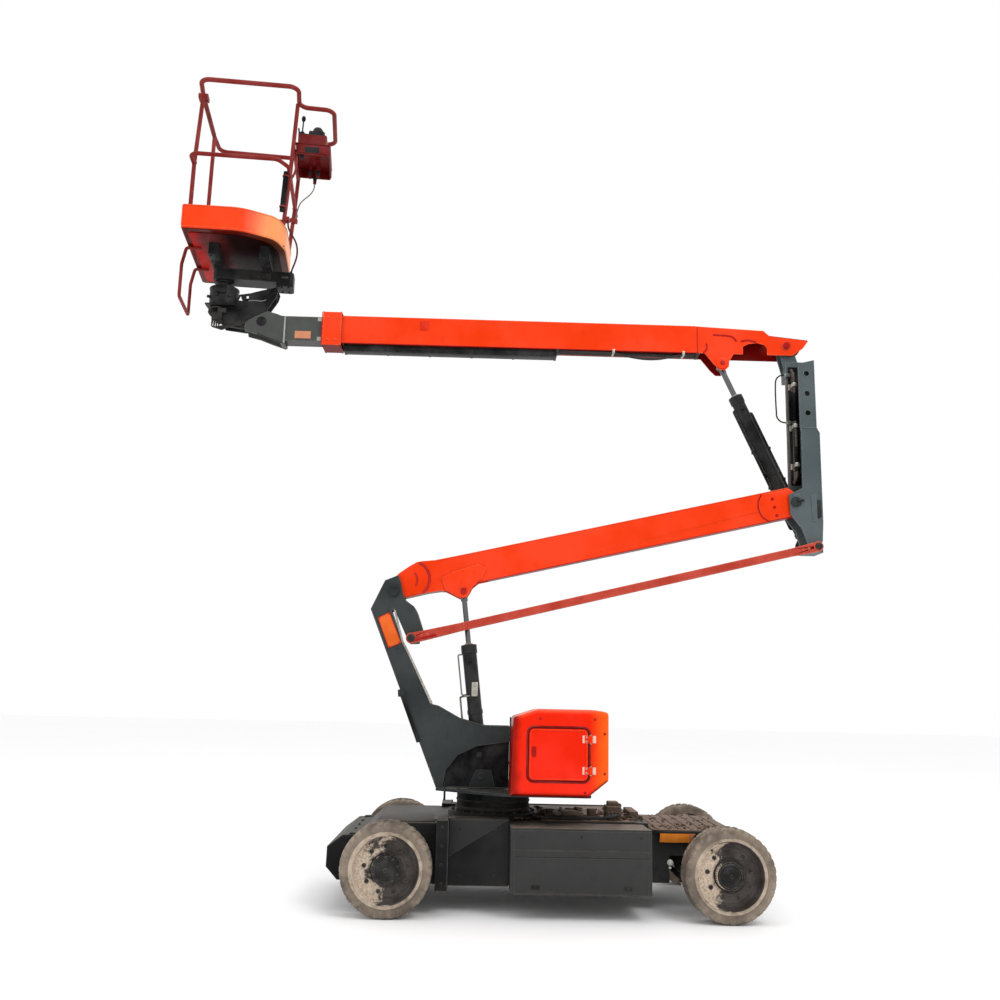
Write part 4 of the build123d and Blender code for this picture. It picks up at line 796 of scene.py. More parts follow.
for tag, s in (("near", -1), ("far", 1)):
    g = Geo("ball_joint_" + tag)
    g.lathe((1.239, s * 0.478, 0.2015), (0, 0, -1), [(0, .016), (.010, .016), (.013, .011), (.026, .011), (.028, .008)], 14)
    g.lathe((1.239, s * 0.482, 0.262), (0, s, 0), [(0, .013), (.018, .013), (.022, .019), (.032, .021), (.040, .016), (.043, .005)], 20)
    g.done("ball_white", "knuckle_" + tag)
    g = Geo("frame_grease_point_" + tag)
    g.lathe((1.178, s * .3702, .300), (0, s, 0), [(0, .019), (.004, .019), (.008, .016), (.0115, .009), (.012, .003)], 20)
    g.lathe((1.178, s * .3702, .268), (0, s, 0), [(0, .009), (.004, .009), (.008, .005)], 14)
    g.done("ball_white", "chassis")
    g = Geo("kingpin_caps_" + tag)
    for z, d in ((0.2795 + 0.095, 1), (0.2795 - 0.095, -1)):
        g.lathe((1.479, s * 0.478, z), (0, 0, d), [(0, .032), (.006, .032), (.010, .026), (.011, .012)], 20)
        for k in range(4):
            a = math.pi * (k + 0.5) / 2
            g.bolt((1.479 + 0.033 * math.cos(a), s * 0.478 + 0.033 * math.sin(a), z - 0.0005 * d), (0, 0, d), 0.0045)
    g.done("cast", "chassis")

# bolts of the slewing ring and its grease band
g = Geo("slew_bolts")
for k in range(24):
    a = 2 * math.pi * k / 24
    g.bolt((0.05 + 0.272 * math.cos(a), 0.272 * math.sin(a), 0.566), (0, 0, 1), 0.009)
g.ring((0.05, 0, 0.628), (0, 0, 1), 0.2445, 0.006, 0.010, 72)
g.ring((0.05, 0, 0.576), (0, 0, 1), 0.2460, 0.008, 0.018, 72)
g.done("cast", "chassis")

# ------------------------------------------------------------------ turntable and leaning post
YN = -0.2120
g = Geo("post_plate_blank")
g.prism([(-.757, 1.818), (-.681, 1.856), (-.595, 1.654), (-.677, 1.617)], YN - 0.0040, YN - 0.0004, 0.0014)
g.done("plate", "turntable")
g = Geo("post_plate_frame")
for a, b in (((-.757, 1.818), (-.681, 1.856)), ((-.681, 1.856), (-.595, 1.654)), ((-.595, 1.654), (-.677, 1.617)), ((-.677, 1.617), (-.757, 1.818))):
    g.tube([(a[0], YN - .0045, a[1]), (b[0], YN - .0045, b[1])], 0.0022, 6)
for x, z in ((-.745, 1.815), (-.684, 1.846), (-.607, 1.657), (-.670, 1.628)):
    g.bolt((x, YN - .004, z), (0, -1, 0), 0.0035, hexa=False)
g.done("groove", "turntable")
# pale strip on the post's front flange, a painted highlight; seams, gusset and pin heads
g = Geo("post_front_strip")
for y0, y1 in ((YN - 0.0022, YN - 0.0002),):
    g.prism([(-.654, 1.876), (-.640, 1.872), (-.577, 1.662), (-.527, 1.574), (-.369, 1.262), (-.384, 1.256), (-.541, 1.572), (-.592, 1.662)], y0, y1, 0.0008)
g.done("post_highlight", "turntable")
g = Geo("post_back_strap")
g.prism([(-.598, 1.330), (-.572, 1.330), (-.440, 1.010), (-.466, 1.000)], YN - 0.012, YN + 0.10, 0.003)
g.prism([(-.604, 1.345), (-.560, 1.345), (-.556, 1.300), (-.600, 1.296)], YN - 0.016, YN + 0.02, 0.004)
g.rbox((-.272, YN - 0.008, 0.700), (0.014, 0.010, 0.120), 0.003)
g.done("black", "turntable")
g = Geo("post_welds")
g.weld_bead([(-.327, YN - .001, .722), (-.798, YN - .001, 1.866)], 0.0035, 0.008, 5)
g.weld_bead([(-.372, YN - .001, 1.252), (-.328, YN - .001, 1.238), (-.184, YN - .001, 1.161), (-.012, YN - .001, 1.117)], 0.0035, 0.008, 6)
g.weld_bead([(-.285, YN - .001, .722), (.140, YN - .001, .722)], 0.0045, 0.008, 6)
g.done("grey", "turntable")
g = Geo("post_pin_heads")
g.lathe((LB_PIN[0], YN - 0.012, LB_PIN[1]), (0, -1, 0), [(0, .036), (.006, .036), (.009, .033), (.010, .014)], 28)
g.rbox((LB_PIN[0] + 0.004, YN - 0.026, LB_PIN[1] + 0.030), (0.052, 0.006, 0.018), 0.002)
g.bolt((LB_PIN[0] - 0.012, YN - 0.029, LB_PIN[1] + 0.030), (0, -1, 0), 0.006, washer=False)
g.lathe((LB_PIN[0], -0.048 + 0.012, LB_PIN[1]), (0, 1, 0), [(0, .036), (.006, .036), (.009, .033), (.010, .014)], 28)
g.lathe((TR_PIN[0], -0.276, TR_PIN[1]), (0, -1, 0), [(0, .026), (.005, .026), (.008, .022), (.009, .008)], 24)
g.done("pin", "turntable")
# black plate below the gusset's arc, standing for the shaded clutter between the post's plates: painted shade
g = Geo("post_arch_shade")
g.prism([(-.300, .722), (-.300, .850), (-.215, .960), (-.075, 1.022), (.100, 1.050), (.146, 1.050), (.146, .722)], -.1955, -.186, 0.002)
g.done("black_matt", "turntable")
g = Geo("post_end_plate")
g.prism([(.1465, .7225), (.200, .7225), (.200, 1.172), (.1465, 1.180)], -.2112, -.1968, .002)
g.done("black_matt", "turntable")
g = Geo("turntable_edge_bolts")
for x, y in ((-.30, -.20), (-.18, -.29), (0.0, -.42), (.12, -.52), (.38, -.545), (.60, -.545), (.38, .545), (.60, .545), (-.18, .27)):
    g.bolt((x, y, 0.716), (0, 0, 1), 0.009)
g.rbox((.15, -.40, .7170), (.012, .30, .006), 0.002)
g.done("cast", "turntable")
g = Geo("swing_motor_detail")
for k in range(8):
    a = 2 * math.pi * k / 8
    g.bolt((0.04 + 0.075 * math.cos(a), 0.11 + 0.075 * math.sin(a), 0.776), (0, 0, 1), 0.0065)
g.ring((0.04, 0.11, 0.79), (0, 0, 1), 0.0605, 0.004, 0.09, 40)
g.cyl((0.04, 0.165, 0.83), (0.04, 0.190, 0.83), 0.012)
g.done("cast", "turntable")
g = Geo("swing_motor_hoses")
g.tube([(0.04, 0.188, 0.83), (0.04, 0.22, 0.832), (0.10, 0.225, 0.85), (0.20, 0.20, 0.86), (0.36, 0.16, 0.87)], 0.009, 10, 3)
g.done("hose", "turntable")

# ------------------------------------------------------------------ hoods
DX0, DX1, DZ0, DZ1 = .243, .627, .806, 1.135


def round_rect(x0, x1, z0, z1, r, n=6):
    out = []
    for cx, cz, a0 in ((x1 - r, z1 - r, 0), (x0 + r, z1 - r, 90), (x0 + r, z0 + r, 180), (x1 - r, z0 + r, 270)):
        for k in range(n + 1):
            a = math.radians(a0 + 90 * k / n)
            out.append((cx + r * math.cos(a), cz + r * math.sin(a)))
    return out


for tag, s, ztop in (("near", -1, 1.238), ("far", 1, 1.192)):
    # jamb behind the door, in shadow red, so the joint round it is a dark red groove: painted shade in a real recess
    g = Geo("door_jamb_" + tag)
    o_, i_ = round_rect(DX0 + .0005, DX1 - .0005, DZ0 + .0005, DZ1 - .0005, .0395), round_rect(DX0 + .030, DX1 - .030, DZ0 + .030, DZ1 - .030, .014)
    n = len(o_)
    vs, fs = [], []
    for pts in (o_, i_):
        for dep in (.6745, .6775):
            vs += [(x, s * dep, z) for x, z in pts]
    for k in range(n):
        k2 = (k + 1) % n
        fs += [(k, k2, 2 * n + k2, 2 * n + k), (n + k, 3 * n + k, 3 * n + k2, n + k2), (k, n + k, n + k2, k2), (2 * n + k, 2 * n + k2, 3 * n + k2, 3 * n + k)]
    g.add(vs, fs)
    g.done("groove", "turntable", 40)
    # dark red band lipped over the edge of the opening: painted shade that widens the door joint
    g = Geo("door_joint_shade_" + tag)
    o_, i_ = round_rect(DX0 - .0075, DX1 + .0075, DZ0 - .0075, DZ1 + .0075, .0475), round_rect(DX0 + .0010, DX1 - .0010, DZ0 + .0010, DZ1 - .0010, .039)
    vs, fs = [], []
    n = len(o_)
    for pts, dep in ((o_, .6895), (o_, .6912), (i_, .6912), (i_, .6860)):
        vs += [(x, s * dep, z) for x, z in pts]
    for a in range(4):
        for k in range(n):
            k2 = (k + 1) % n
            b = (a + 1) % 4
            fs.append((a * n + k, a * n + k2, b * n + k2, b * n + k))
    g.add(vs, fs)
    g.done("joint_shade", "turntable", 30)
    # pressed field and rolled rim on the door
    g = Geo("door_pressing_" + tag)
    o_, i_ = round_rect(DX0 + .013, DX1 - .013, DZ0 + .013, DZ1 - .013, .027), round_rect(DX0 + .022, DX1 - .022, DZ0 + .022, DZ1 - .022, .020)
    vs, fs = [], []
    n = len(o_)
    for pts, dep in ((o_, .6900), (o_, .6920), (i_, .6925), (i_, .6900)):
        vs += [(x, s * dep, z) for x, z in pts]
    for a in range(4):
        for k in range(n):
            k2 = (k + 1) % n
            b = (a + 1) % 4
            fs.append((a * n + k, a * n + k2, b * n + k2, b * n + k))
    g.add(vs, fs)
    g.done("hood", "hood_door_" + tag, 30)
    g = Geo("door_latch_" + tag)
    g.rbox((DX0 + .040, s * .6925, .985), (.026, .006, .060), .003)
    g.cyl((DX0 + .040, s * .694, .985), (DX0 + .040, s * .6985, .985), .008)
    g.done("groove", "hood_door_" + tag)
    g = Geo("door_hinge_pins_" + tag)
    for z in (DZ0 + .070, DZ1 - .070):
        for e in (-1, 1):
            g.lathe((DX1 + .006, s * .698, z + e * .025), (0, 0, e), [(0, .0082), (.003, .0082), (.0045, .006)], 14)
        for q in (-.012, .012):
            g.bolt((DX1 - .020, s * .6964, z + q), (0, s, 0), .0042, hexa=False)
    g.done("zinc", "hood_door_" + tag)
    g = Geo("door_hinge_leaves_" + tag)
    for z in (DZ0 + .070, DZ1 - .070):
        g.rbox((DX1 - .028, s * .6925, z), (.034, .0050, .046), .0018)
    g.done("hinge_pale", "hood_door_" + tag)
    g = Geo("hood_hinge_leaves_" + tag)
    for z in (DZ0 + .070, DZ1 - .070):
        g.rbox((DX1 + .028, s * .6920, z), (.022, .0040, .044), .0015)
    g.done("hinge_pale", "turntable")
    g = Geo("hood_fastenings_" + tag)
    for x, z in ((.185, .745), (.600, .745), (.72, .86), (.72, 1.10), (.32, ztop - .052), (.66, ztop - .052)):
        if x < .70 or s < 0:
            g.bolt((x, s * .6895, z), (0, s, 0), .0058, hexa=False)
    g.done("groove", "turntable")
    # seam of the lid along the top
    g = Geo("hood_top_seam_" + tag)
    g.rbox((.50, s * .48, ztop + .0005), (.36, .30, .004), .0015)
    g.done("hood", "turntable")

# ------------------------------------------------------------------ lift cylinders
CYL = (("lower", (-.035, .800), (-.185, 2.010), -.130, .861, .0485, .018), ("upper", (2.272, 2.440), (1.670, 3.760), .090, 1.195, .047, .020))
for name, base, eye, y, bl, br, rr in CYL:
    p0 = Vector((base[0], y, base[1]))
    ax = (Vector((eye[0], y, eye[1])) - p0).normalized()
    side = Vector((0, -1, 0))
    lat = ax.cross(side).normalized()
    if lat.x > 0:
        lat = -lat
    g = Geo(name + "_cylinder_bands")
    g.lathe(p0 + ax * (bl - .062), ax, [(0, br + .0005), (.004, br + .0055), (.056, br + .0055), (.0615, br + .001), (.0640, rr + .013), (.0640, rr + .0045),
                                        (.0622, rr + .0045), (.0622, br - .002), (.002, br - .002)], 40, close=True)   # round the barrel's wall only: the piston passes inside
    g.ring(p0 + ax * .060, ax, br + .002, .006, .030, 40)
    g.ring(p0 + ax * (bl * .46), ax, br + .0015, .005, .030, 40)
    g.rbox(p0 + ax * (bl - .10) + side * (br + .010), (.036, .030, .036), .004)
    g.rbox(p0 + ax * .13 + side * (br + .010), (.036, .030, .036), .004)
    g.done("black", name + "_cylinder_barrel")
    g = Geo(name + "_cylinder_wiper")
    g.lathe(p0 + ax * (bl + .0022), ax, [(0, rr + .0042), (0, rr + .012), (.006, rr + .0090), (.0075, rr + .0042)], 28, close=True)
    g.done("zinc", name + "_cylinder_barrel")
    # hard pipes clipped along the barrel
    g = Geo(name + "_cylinder_pipes")
    if name == "lower":
        o1 = lat * (br + .030)
        a, b = p0 + ax * .80, p0 + ax * .53
        g.tube([a + lat * br * .8, a + lat * (br + .012), a + o1, a + o1 - ax * .03, b + o1 + ax * .03, b + o1, b + lat * (br + .010), b + lat * br * .8], .0055, 10, 3)
        o2 = lat * (br + .042)
        a, b = p0 + ax * .52, p0 + ax * .16
        g.tube([a + lat * br * .5 + side * br * .8, a + lat * (br + .014) + side * br * .8, a + o2, a + o2 - ax * .03, b + o2, b + lat * br * .6], .0065, 10, 3)
    else:
        for q, top, bot in ((1, bl - .10, .14), (-1, bl - .16, .20)):
            o1 = lat * q * (br + .012)
            a, b = p0 + ax * top, p0 + ax * bot
            g.tube([a + lat * q * br * .85, a + o1, a + o1 - ax * .03, b + o1 + ax * .03, b + o1, b + lat * q * br * .85], .0095, 10, 3)
            for m in (.35, .65):
                pm = a.lerp(b, m) + o1
                g.rbox(pm - lat * q * .002, (.030, .022, .030), .004)
    g.done("pipe" if name == "lower" else "black", name + "_cylinder_barrel")
    if name == "lower":
        # counterbalance valve with worn paint on the barrel's front
        g = Geo("lower_cylinder_valve")
        vp = p0 + ax * .56 + side * (br + .012) - lat * .012
        g.rbox(vp, (.042, .030, .095), .004)
        g.cyl(vp + Vector((0, -.012, .03)), vp + Vector((0, -.030, .03)), .010, 6)
        g.cyl(vp + Vector((0, -.012, -.02)), vp + Vector((0, -.026, -.02)), .012, 6)
        g.done("zinc", "lower_cylinder_barrel")
    g = Geo(name + "_cylinder_eye_pin")
    e = Vector((eye[0], y, eye[1]))
    for q in (-1, 1):
        g.lathe(e + Vector((0, q * .0255, 0)), (0, q, 0), [(0, .030), (.003, .030), (.004, .027)], 24)
    g.done("pin", name + "_cylinder_rod")

# ------------------------------------------------------------------ lower boom
YL = -0.185


def arc_strip(g, pts, y, w, t):
    """A raised rib following points (u, v) of the lower boom's side face."""
    g.tube([lb(u, v, y * 1000 - t * 500) for u, v in pts], w / 2, 8, 2, flat=None)


g = Geo("lower_boom_boss")
# cast boss round the end pin: a curved shoulder and a raised disc
g.prism([(lb(u, v, 0)[0], lb(u, v, 0)[2]) for u, v in
         ((-44, -34), (-18, -50), (205, -46), (243, -10), (252, 40), (246, 84), (222, 128), (196, 152), (140, 142), (58, 110), (-26, 58), (-52, 10))],
        YL - .0055, YL - .0003, .002)
g.done("orange", "lower_boom")
# shadow-red beads round the boss's edge: painted shadow along a raised edge
g = Geo("lower_boom_boss_shadow")
g.tube([lb(u, v, -184.8) for u, v in ((187, -46), (229, -18), (251, 37), (253, 80), (233, 128), (205, 156))], .0105, 8, 3)
g.tube([lb(u, v, -188.6) for u, v in ((158, 96), (170, 78), (168, 40), (150, 6))], .0070, 8, 3)
g.done("groove", "lower_boom")
g = Geo("lower_boom_end_doubler")
g.prism([(lb(u, v, 0)[0], lb(u, v, 0)[2]) for u, v in
         ((2640, -84), (2828, -88), (2880, -46), (2886, 0), (2880, 46), (2830, 106), (2640, 106), (2600, 60), (2592, 10), (2600, -50))],
        YL - .0045, YL - .0003, .002)
g.prism([(lb(u, v, 0)[0], lb(u, v, 0)[2]) for u, v in
         ((330, 20), (420, 46), (600, 60), (640, 20), (600, -40), (560, -62), (520, -84), (476, -138), (428, -138), (386, -106), (340, -62))],
        YL - .0105, YL - .0064, .0015)
g.done("orange", "lower_boom")
# shadow-red bead along the doubler's edge: painted shadow
g = Geo("lower_boom_doubler_shadow")
g.tube([lb(2632, 104, -186.0), lb(2596, 60, -186.5), lb(2587, 10, -186.5), lb(2596, -50, -186.5), lb(2636, -84, -186.0)], .0050, 8, 2)
g.done("groove", "lower_boom")
g = Geo("lower_boom_seams")
g.weld_bead([lb(325, 145, -185.5), lb(2820, 112, -185.5)], .0022, .012, 9)
g.done("orange", "lower_boom")
g = Geo("lower_boom_edge_shade")
g.tube([lb(560, -62, -184.5), lb(1600, -75, -184.5), lb(2820, -92, -184.5)], .0035, 6)
g.done("groove", "lower_boom")
g = Geo("lower_boom_pin_mark")
ex, ez = -0.185, 2.010
g.lathe((ex, YL - .0105, ez), (0, -1, 0), [(0, .0205), (.004, .0205), (.006, .018), (.0062, .008)], 26)
g.rbox((ex + .002, YL - .0175, ez + .018), (.034, .005, .012), .0015)
g.lathe((ex, -.075 + .006, ez), (0, 1, 0), [(0, .0205), (.004, .0205), (.006, .018), (.0062, .008)], 26)
g.done("groove", "lower_boom")
# shadow-red pad at the boom's end, with bolts: painted shade standing for a recess
g = Geo("lower_boom_recess_shade")
g.prism([(lb(u, v, 0)[0], lb(u, v, 0)[2]) for u, v in ((2842, 34), (2866, 30), (2872, 0), (2866, -30), (2842, -34), (2834, 0))], YL - .0085, YL - .0040, .002)
for k in range(3):
    g.bolt(lb(2700, 60 - 60 * k, -189), (0, -1, 0), .008)
g.done("groove", "lower_boom")
g = Geo("lower_boom_far_plates")
g.prism([(lb(u, v, 0)[0], lb(u, v, 0)[2]) for u, v in
         ((2640, -84), (2828, -88), (2880, -46), (2880, 46), (2830, 106), (2640, 106), (2600, 60), (2592, 10), (2600, -50))], -.0747, -.0712, .0015)
g.prism([(lb(u, v, 0)[0], lb(u, v, 0)[2]) for u, v in
         ((-44, -34), (-18, -50), (205, -46), (243, -10), (252, 40), (246, 84), (222, 128), (196, 152), (140, 142), (58, 110), (-26, 58), (-52, 10))],
        -.0747, -.0712, .0015)
g.done("orange", "lower_boom")

# tie rod end castings
g = Geo("tie_rod_ends")
for (px, pz), q in ((TR_PIN, 1), (TR_END, -1)):
    g.lathe((px, -.2705, pz), (0, -1, 0), [(0, .034), (.002, .034), (.003, .031), (.003, .0275)], 28)
    for u in (70, 110):
        cx, cz = px + q * u / 1000 * CA, pz + q * u / 1000 * SA
        g.cyl((cx, -.2702, cz), (cx, -.2740, cz), .010, 14)
g.done("brick", "tie_rod")
g = Geo("tie_rod_shadowed_end")
a0, a1 = TR_PIN, (TR_PIN[0] + .17 * CA, TR_PIN[1] + .17 * SA)
g.tube([(a0[0] - .01, -.2712, a0[1] - .016), (a1[0], -.2712, a1[1] - .016)], .008, 8)
g.done("groove", "tie_rod")
g = Geo("tie_rod_weld_joints")
for u in (360, 2648):
    cx, cz = TR_PIN[0] + u / 1000 * CA, TR_PIN[1] + u / 1000 * SA
    g.weld_bead([(cx + .027 * SA, -.2705, cz - .027 * CA), (cx - .027 * SA, -.2705, cz + .027 * CA)], .0035, .006, 12)
g.done("brick", "tie_rod")

# ------------------------------------------------------------------ upright
g = Geo("upright_pin_heads")
g.lathe((LB_END[0], YN - .008, LB_END[1]), (0, -1, 0), [(0, .036), (.006, .036), (.009, .033), (.010, .014)], 28)
g.rbox((LB_END[0] + .03, YN - .022, LB_END[1] + .01), (.046, .006, .018), .002)
g.bolt((LB_END[0] + .044, YN - .025, LB_END[1] + .01), (0, -1, 0), .006, washer=False)
g.lathe((TR_END[0], -.280, TR_END[1]), (0, -1, 0), [(0, .024), (.004, .024), (.007, .020), (.008, .008)], 24)
for q in (-1, 1):
    g.lathe((2.272, .090 + q * .075, 2.440), (0, q, 0), [(0, .028), (.005, .028), (.007, .025), (.008, .008)], 24)
g.done("pin", "upright")
g = Geo("upper_boom_pin_heads")
for q, yy in ((-1, .015 - .012), (1, .165 + .012)):
    g.lathe((UB_PIN[0], yy, UB_PIN[1]), (0, q, 0), [(0, .0255), (.005, .0255), (.008, .023), (.009, .010)], 26)
g.done("groove", "upright")
g = Geo("upright_hole_rims")
for x, z in ((2.216, 3.624), (2.216, 3.476), (2.217, 3.334)):
    g.ring((x, YN - .0018, z), (0, 1, 0), .0215, .004, .0035, 32, .0008)
g.done("upright", "upright")
# black discs behind the upright's holes: painted shade seen through them
g = Geo("upright_hole_shade")
for x, z in ((2.216, 3.624), (2.216, 3.476), (2.217, 3.334)):
    g.lathe((x, -.1955, z), (0, 1, 0), [(0, .026), (.010, .026), (.012, .022)], 24)
g.done("black_matt", "upright")
g = Geo("upright_seams")
g.weld_bead([(2.160, YN - .001, 3.225), (2.274, YN - .001, 3.225)], .0035, .007, 14)
g.weld_bead([(2.268, YN - .001, 3.70), (2.271, YN - .001, 3.23), (2.291, YN - .001, 3.185), (2.293, YN - .001, 2.56)], .003, .009, 15)
g.done("upright", "upright")
g = Geo("upright_lift_plate")
g.prism([(2.262, 2.705), (2.283, 2.705), (2.283, 2.585), (2.262, 2.575)], YN - .010, YN - .0004, .002)
g.done("black", "upright")
g = Geo("upright_doubler")
g.prism([(2.215, 2.74), (2.255, 2.76), (2.255, 2.56), (2.225, 2.55)], YN - .0045, YN - .0003, .0015)
g.prism([(2.094, 2.742), (2.135, 2.752), (2.150, 2.700), (2.128, 2.640), (2.098, 2.640)], YN - .0045, YN - .0003, .0015)
g.done("upright", "upright")
# lines the upright holds, and their clamps
g = Geo("upright_lines")
for x, y, z0, z1, r in ((2.149, -.092, 2.850, 3.690, .022), (2.153, -.116, 2.872, 3.668, .040), (2.147, -.142, 2.860, 3.642, .055)):
    g.tube([(x, -.065, z1), (x, y + r, z1)] + [(x, y + r - r * math.sin(a), z1 - r + r * math.cos(a)) for a in (.26, .52, .79, 1.05, 1.31)] +
           [(x, y, z1 - r), (x + .002, y, (z0 + z1) / 2), (x, y, z0 + r)] +
           [(x, y + r - r * math.cos(a), z0 + r - r * math.sin(a)) for a in (.26, .52, .79, 1.05, 1.31)] + [(x, y + r, z0), (x, -.065, z0)], .0098, 12)
o = g.done("hose_worn", "upright", 60)
if "upright_hoses" in NODES:
    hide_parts("upright_hoses")
g = Geo("upright_line_clamps")
for z in (3.56, 3.255, 2.97):
    g.rbox((2.149, -.116, z), (.034, .086, .030), .005)
    g.rbox((2.149, -.068, z), (.046, .006, .044), .002)
    g.bolt((2.149, -.160, z), (0, -1, 0), .006)
g.done("zinc", "upright")
g = Geo("upright_line_sleeves")
for x, y, z0, z1 in ((2.149, -.092, 3.30, 3.52), (2.153, -.116, 3.02, 3.22), (2.147, -.142, 3.29, 3.50), (2.147, -.142, 2.92, 3.10)):
    g.cyl((x, y, z0), (x, y, z1), .0125, 16)
g.done("black_matt", "upright")
# black sheet inside the upright's channel: painted shade of its inside
g = Geo("upright_inside_shade")
g.rbox((2.163, -.0655, 3.275), (.070, .0030, .88), .0012)
g.done("black_matt", "upright")
g = Geo("upright_left_edge")
g.rbox((2.1140, -.0560, 3.20), (.010, .0170, .84), .002)
g.done("edge_tan", "upright")
g = Geo("upright_bulkhead_nuts")
for z in (3.651, 3.293):
    g.cyl((2.111, -.076, z), (2.098, -.076, z), .0095, 6)
g.done("zinc", "upright")

# ------------------------------------------------------------------ upper boom
YU = .015
g = Geo("upper_boom_collar_band")
for x0, x1 in ((-1.2750, -1.2620), (-1.1480, -1.1350)):
    g.prism([(-.006, 3.806), (.186, 3.806), (.186, 4.064), (-.006, 4.064)], x0, x1, .003, "YZ")
g.done("orange", "upper_boom")
# the bands are bored for the tube inside
o = bpy.data.objects["upper_boom_collar_band"]
cut = bpy.data.meshes.new("collar_bore")
bm = bmesh.new()
bmesh.ops.create_cube(bm, size=1.0)
bmesh.ops.scale(bm, vec=(.30, .140, .195), verts=bm.verts)
bmesh.ops.translate(bm, vec=(-1.205, .090, 3.935), verts=bm.verts)
bm.to_mesh(cut)
bm.free()
cutter = bpy.data.objects.new("collar_bore", cut)
scene.collection.objects.link(cutter)
md = o.modifiers.new("bore", "BOOLEAN")
md.object = cutter
md.operation = "DIFFERENCE"
dg = bpy.context.evaluated_depsgraph_get()
me = bpy.data.meshes.new_from_object(o.evaluated_get(dg))
o.modifiers.clear()
o.data = me
bpy.data.objects.remove(cutter)
g = Geo("upper_boom_collar_bolts")
for z in (3.85, 4.02):
    for x in (-1.235, -1.175):
        g.bolt((x, -.003, z), (0, -1, 0), .008)
        g.bolt((x, .183, z), (0, 1, 0), .008)
for y in (.05, .13):
    for x in (-1.235, -1.175):
        g.bolt((x, y, 4.061), (0, 0, 1), .008)
g.done("orange", "upper_boom")
# raised ribs in shadow red along the lobes, seams and pin: painted shade on real edges
g = Geo("upper_boom_rib_shade")
g.rbox((1.487, YU - .0008, 3.935), (.007, .003, .198), .001)
g.tube([(1.604, YU - .0012, 3.975), (1.730, YU - .0012, 3.972), (1.762, YU - .0012, 3.955), (1.778, YU - .0012, 3.930)], .0065, 8, 2)
g.tube([(1.812, YU - .0012, 3.932), (1.868, YU - .0012, 3.944), (1.925, YU - .0012, 3.928)], .0065, 8, 2)
g.tube([(1.530, YU - .0012, 3.834), (1.560, YU - .0012, 3.865), (1.552, YU - .0012, 3.905)], .0060, 8, 2)
g.lathe((UB_PIN[0], YU - .0018, UB_PIN[1]), (0, -1, 0), [(0, .0245), (.001, .0245), (.0015, .022)], 26)
g.done("groove", "upper_boom")
g = Geo("upper_boom_lobe_boss")
for yy, q in ((YU, -1), (.165, 1)):
    g.lathe((1.670, yy - q * .0002, 3.760), (0, q, 0), [(0, .044), (.005, .044), (.0065, .041), (.0065, .019)], 30)
g.done("orange", "upper_boom")
g = Geo("upper_boom_eye_pin")
for yy, q in ((YU - .0065, -1), (.165 + .0065, 1)):
    g.lathe((1.670, yy, 3.760), (0, q, 0), [(0, .0175), (.003, .0175), (.0045, .015), (.0046, .006)], 24)
g.done("groove", "upper_boom")
g = Geo("upper_boom_top_seams")
g.weld_bead([(-1.13, YU + .002, 4.0385), (1.475, YU + .002, 4.0385)], .0022, .014, 20)
g.weld_bead([(-1.13, .163, 4.0385), (1.475, .163, 4.0385)], .0022, .014, 21)
g.done("orange", "upper_boom")
# shadow-red lines along the boom's lower edge and the collar's edge: painted shade
g = Geo("upper_boom_under_shade")
g.tube([(-1.13, YU + .0005, 3.8325), (1.50, YU + .0005, 3.8325)], .0030, 6)
g.tube([(-1.279, -.0035, 3.812), (-1.279, -.0035, 4.058)], .0030, 6)
g.done("groove", "upper_boom")
g = Geo("upper_boom_blank_patch")
g.rbox((-.530, YU - .0012, 3.980), (.066, .0024, .074), .0010)
g.done("patch_red", "upper_boom")
# tray under the boom and its lids
g = Geo("tray_lids")
for k in range(5):
    g.rbox((-.96 + .31 * k, .0410, 3.808), (.296, .003, .040), .001)
    g.rbox((-.96 + .31 * k, .090, 3.7835), (.296, .088, .003), .001)
for k in range(6):
    g.rbox((-1.11 + .31 * k, .090, 3.7850), (.018, .104, .008), .002)
    g.rbox((-1.11 + .31 * k, .0400, 3.809), (.018, .006, .046), .002)
g.done("black", "upper_boom")
g = Geo("boom_lines")
for y in (.052, .076):
    g.tube([(.442, y, 3.821), (.78, y + .001, 3.8195), (1.12, y - .001, 3.821), (1.480, y, 3.821)], .0084, 12, 2)
SLACK = ((.442, .030, 3.821), (.700, .030, 3.8195), (.865, .030, 3.819), (.930, .030, 3.806), (1.010, .030, 3.788), (1.100, .030, 3.777), (1.190, .030, 3.779),
         (1.280, .030, 3.796), (1.350, .030, 3.813), (1.400, .030, 3.820), (1.480, .030, 3.821))
g.tube(SLACK, .0084, 12, 3)
g.rbox((.452, .055, 3.819), (.021, .087, .0265), .004)
g.rbox((1.486, .055, 3.819), (.021, .087, .0265), .004)
o = g.done("hose", "upper_boom", 50)
if "boom_hoses" in NODES:
    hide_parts("boom_hoses")
g = Geo("boom_line_clips")
for x in (.865, 1.383):
    g.rbox((x, .050, 3.8200), (.016, .082, .022), .004)
    g.rbox((x, .0145, 3.826), (.020, .004, .034), .0015)
    g.bolt((x, .0125, 3.829), (0, -1, 0), .006)
g.done("zinc", "upper_boom")
# shadow-red line along the tail's lower edge: painted shade
g = Geo("tail_edge_shade")
g.tube([(2.022, YU + .002, 3.979), (2.306, YU + .002, 3.9515)], .0030, 8)
g.done("groove", "upper_boom")

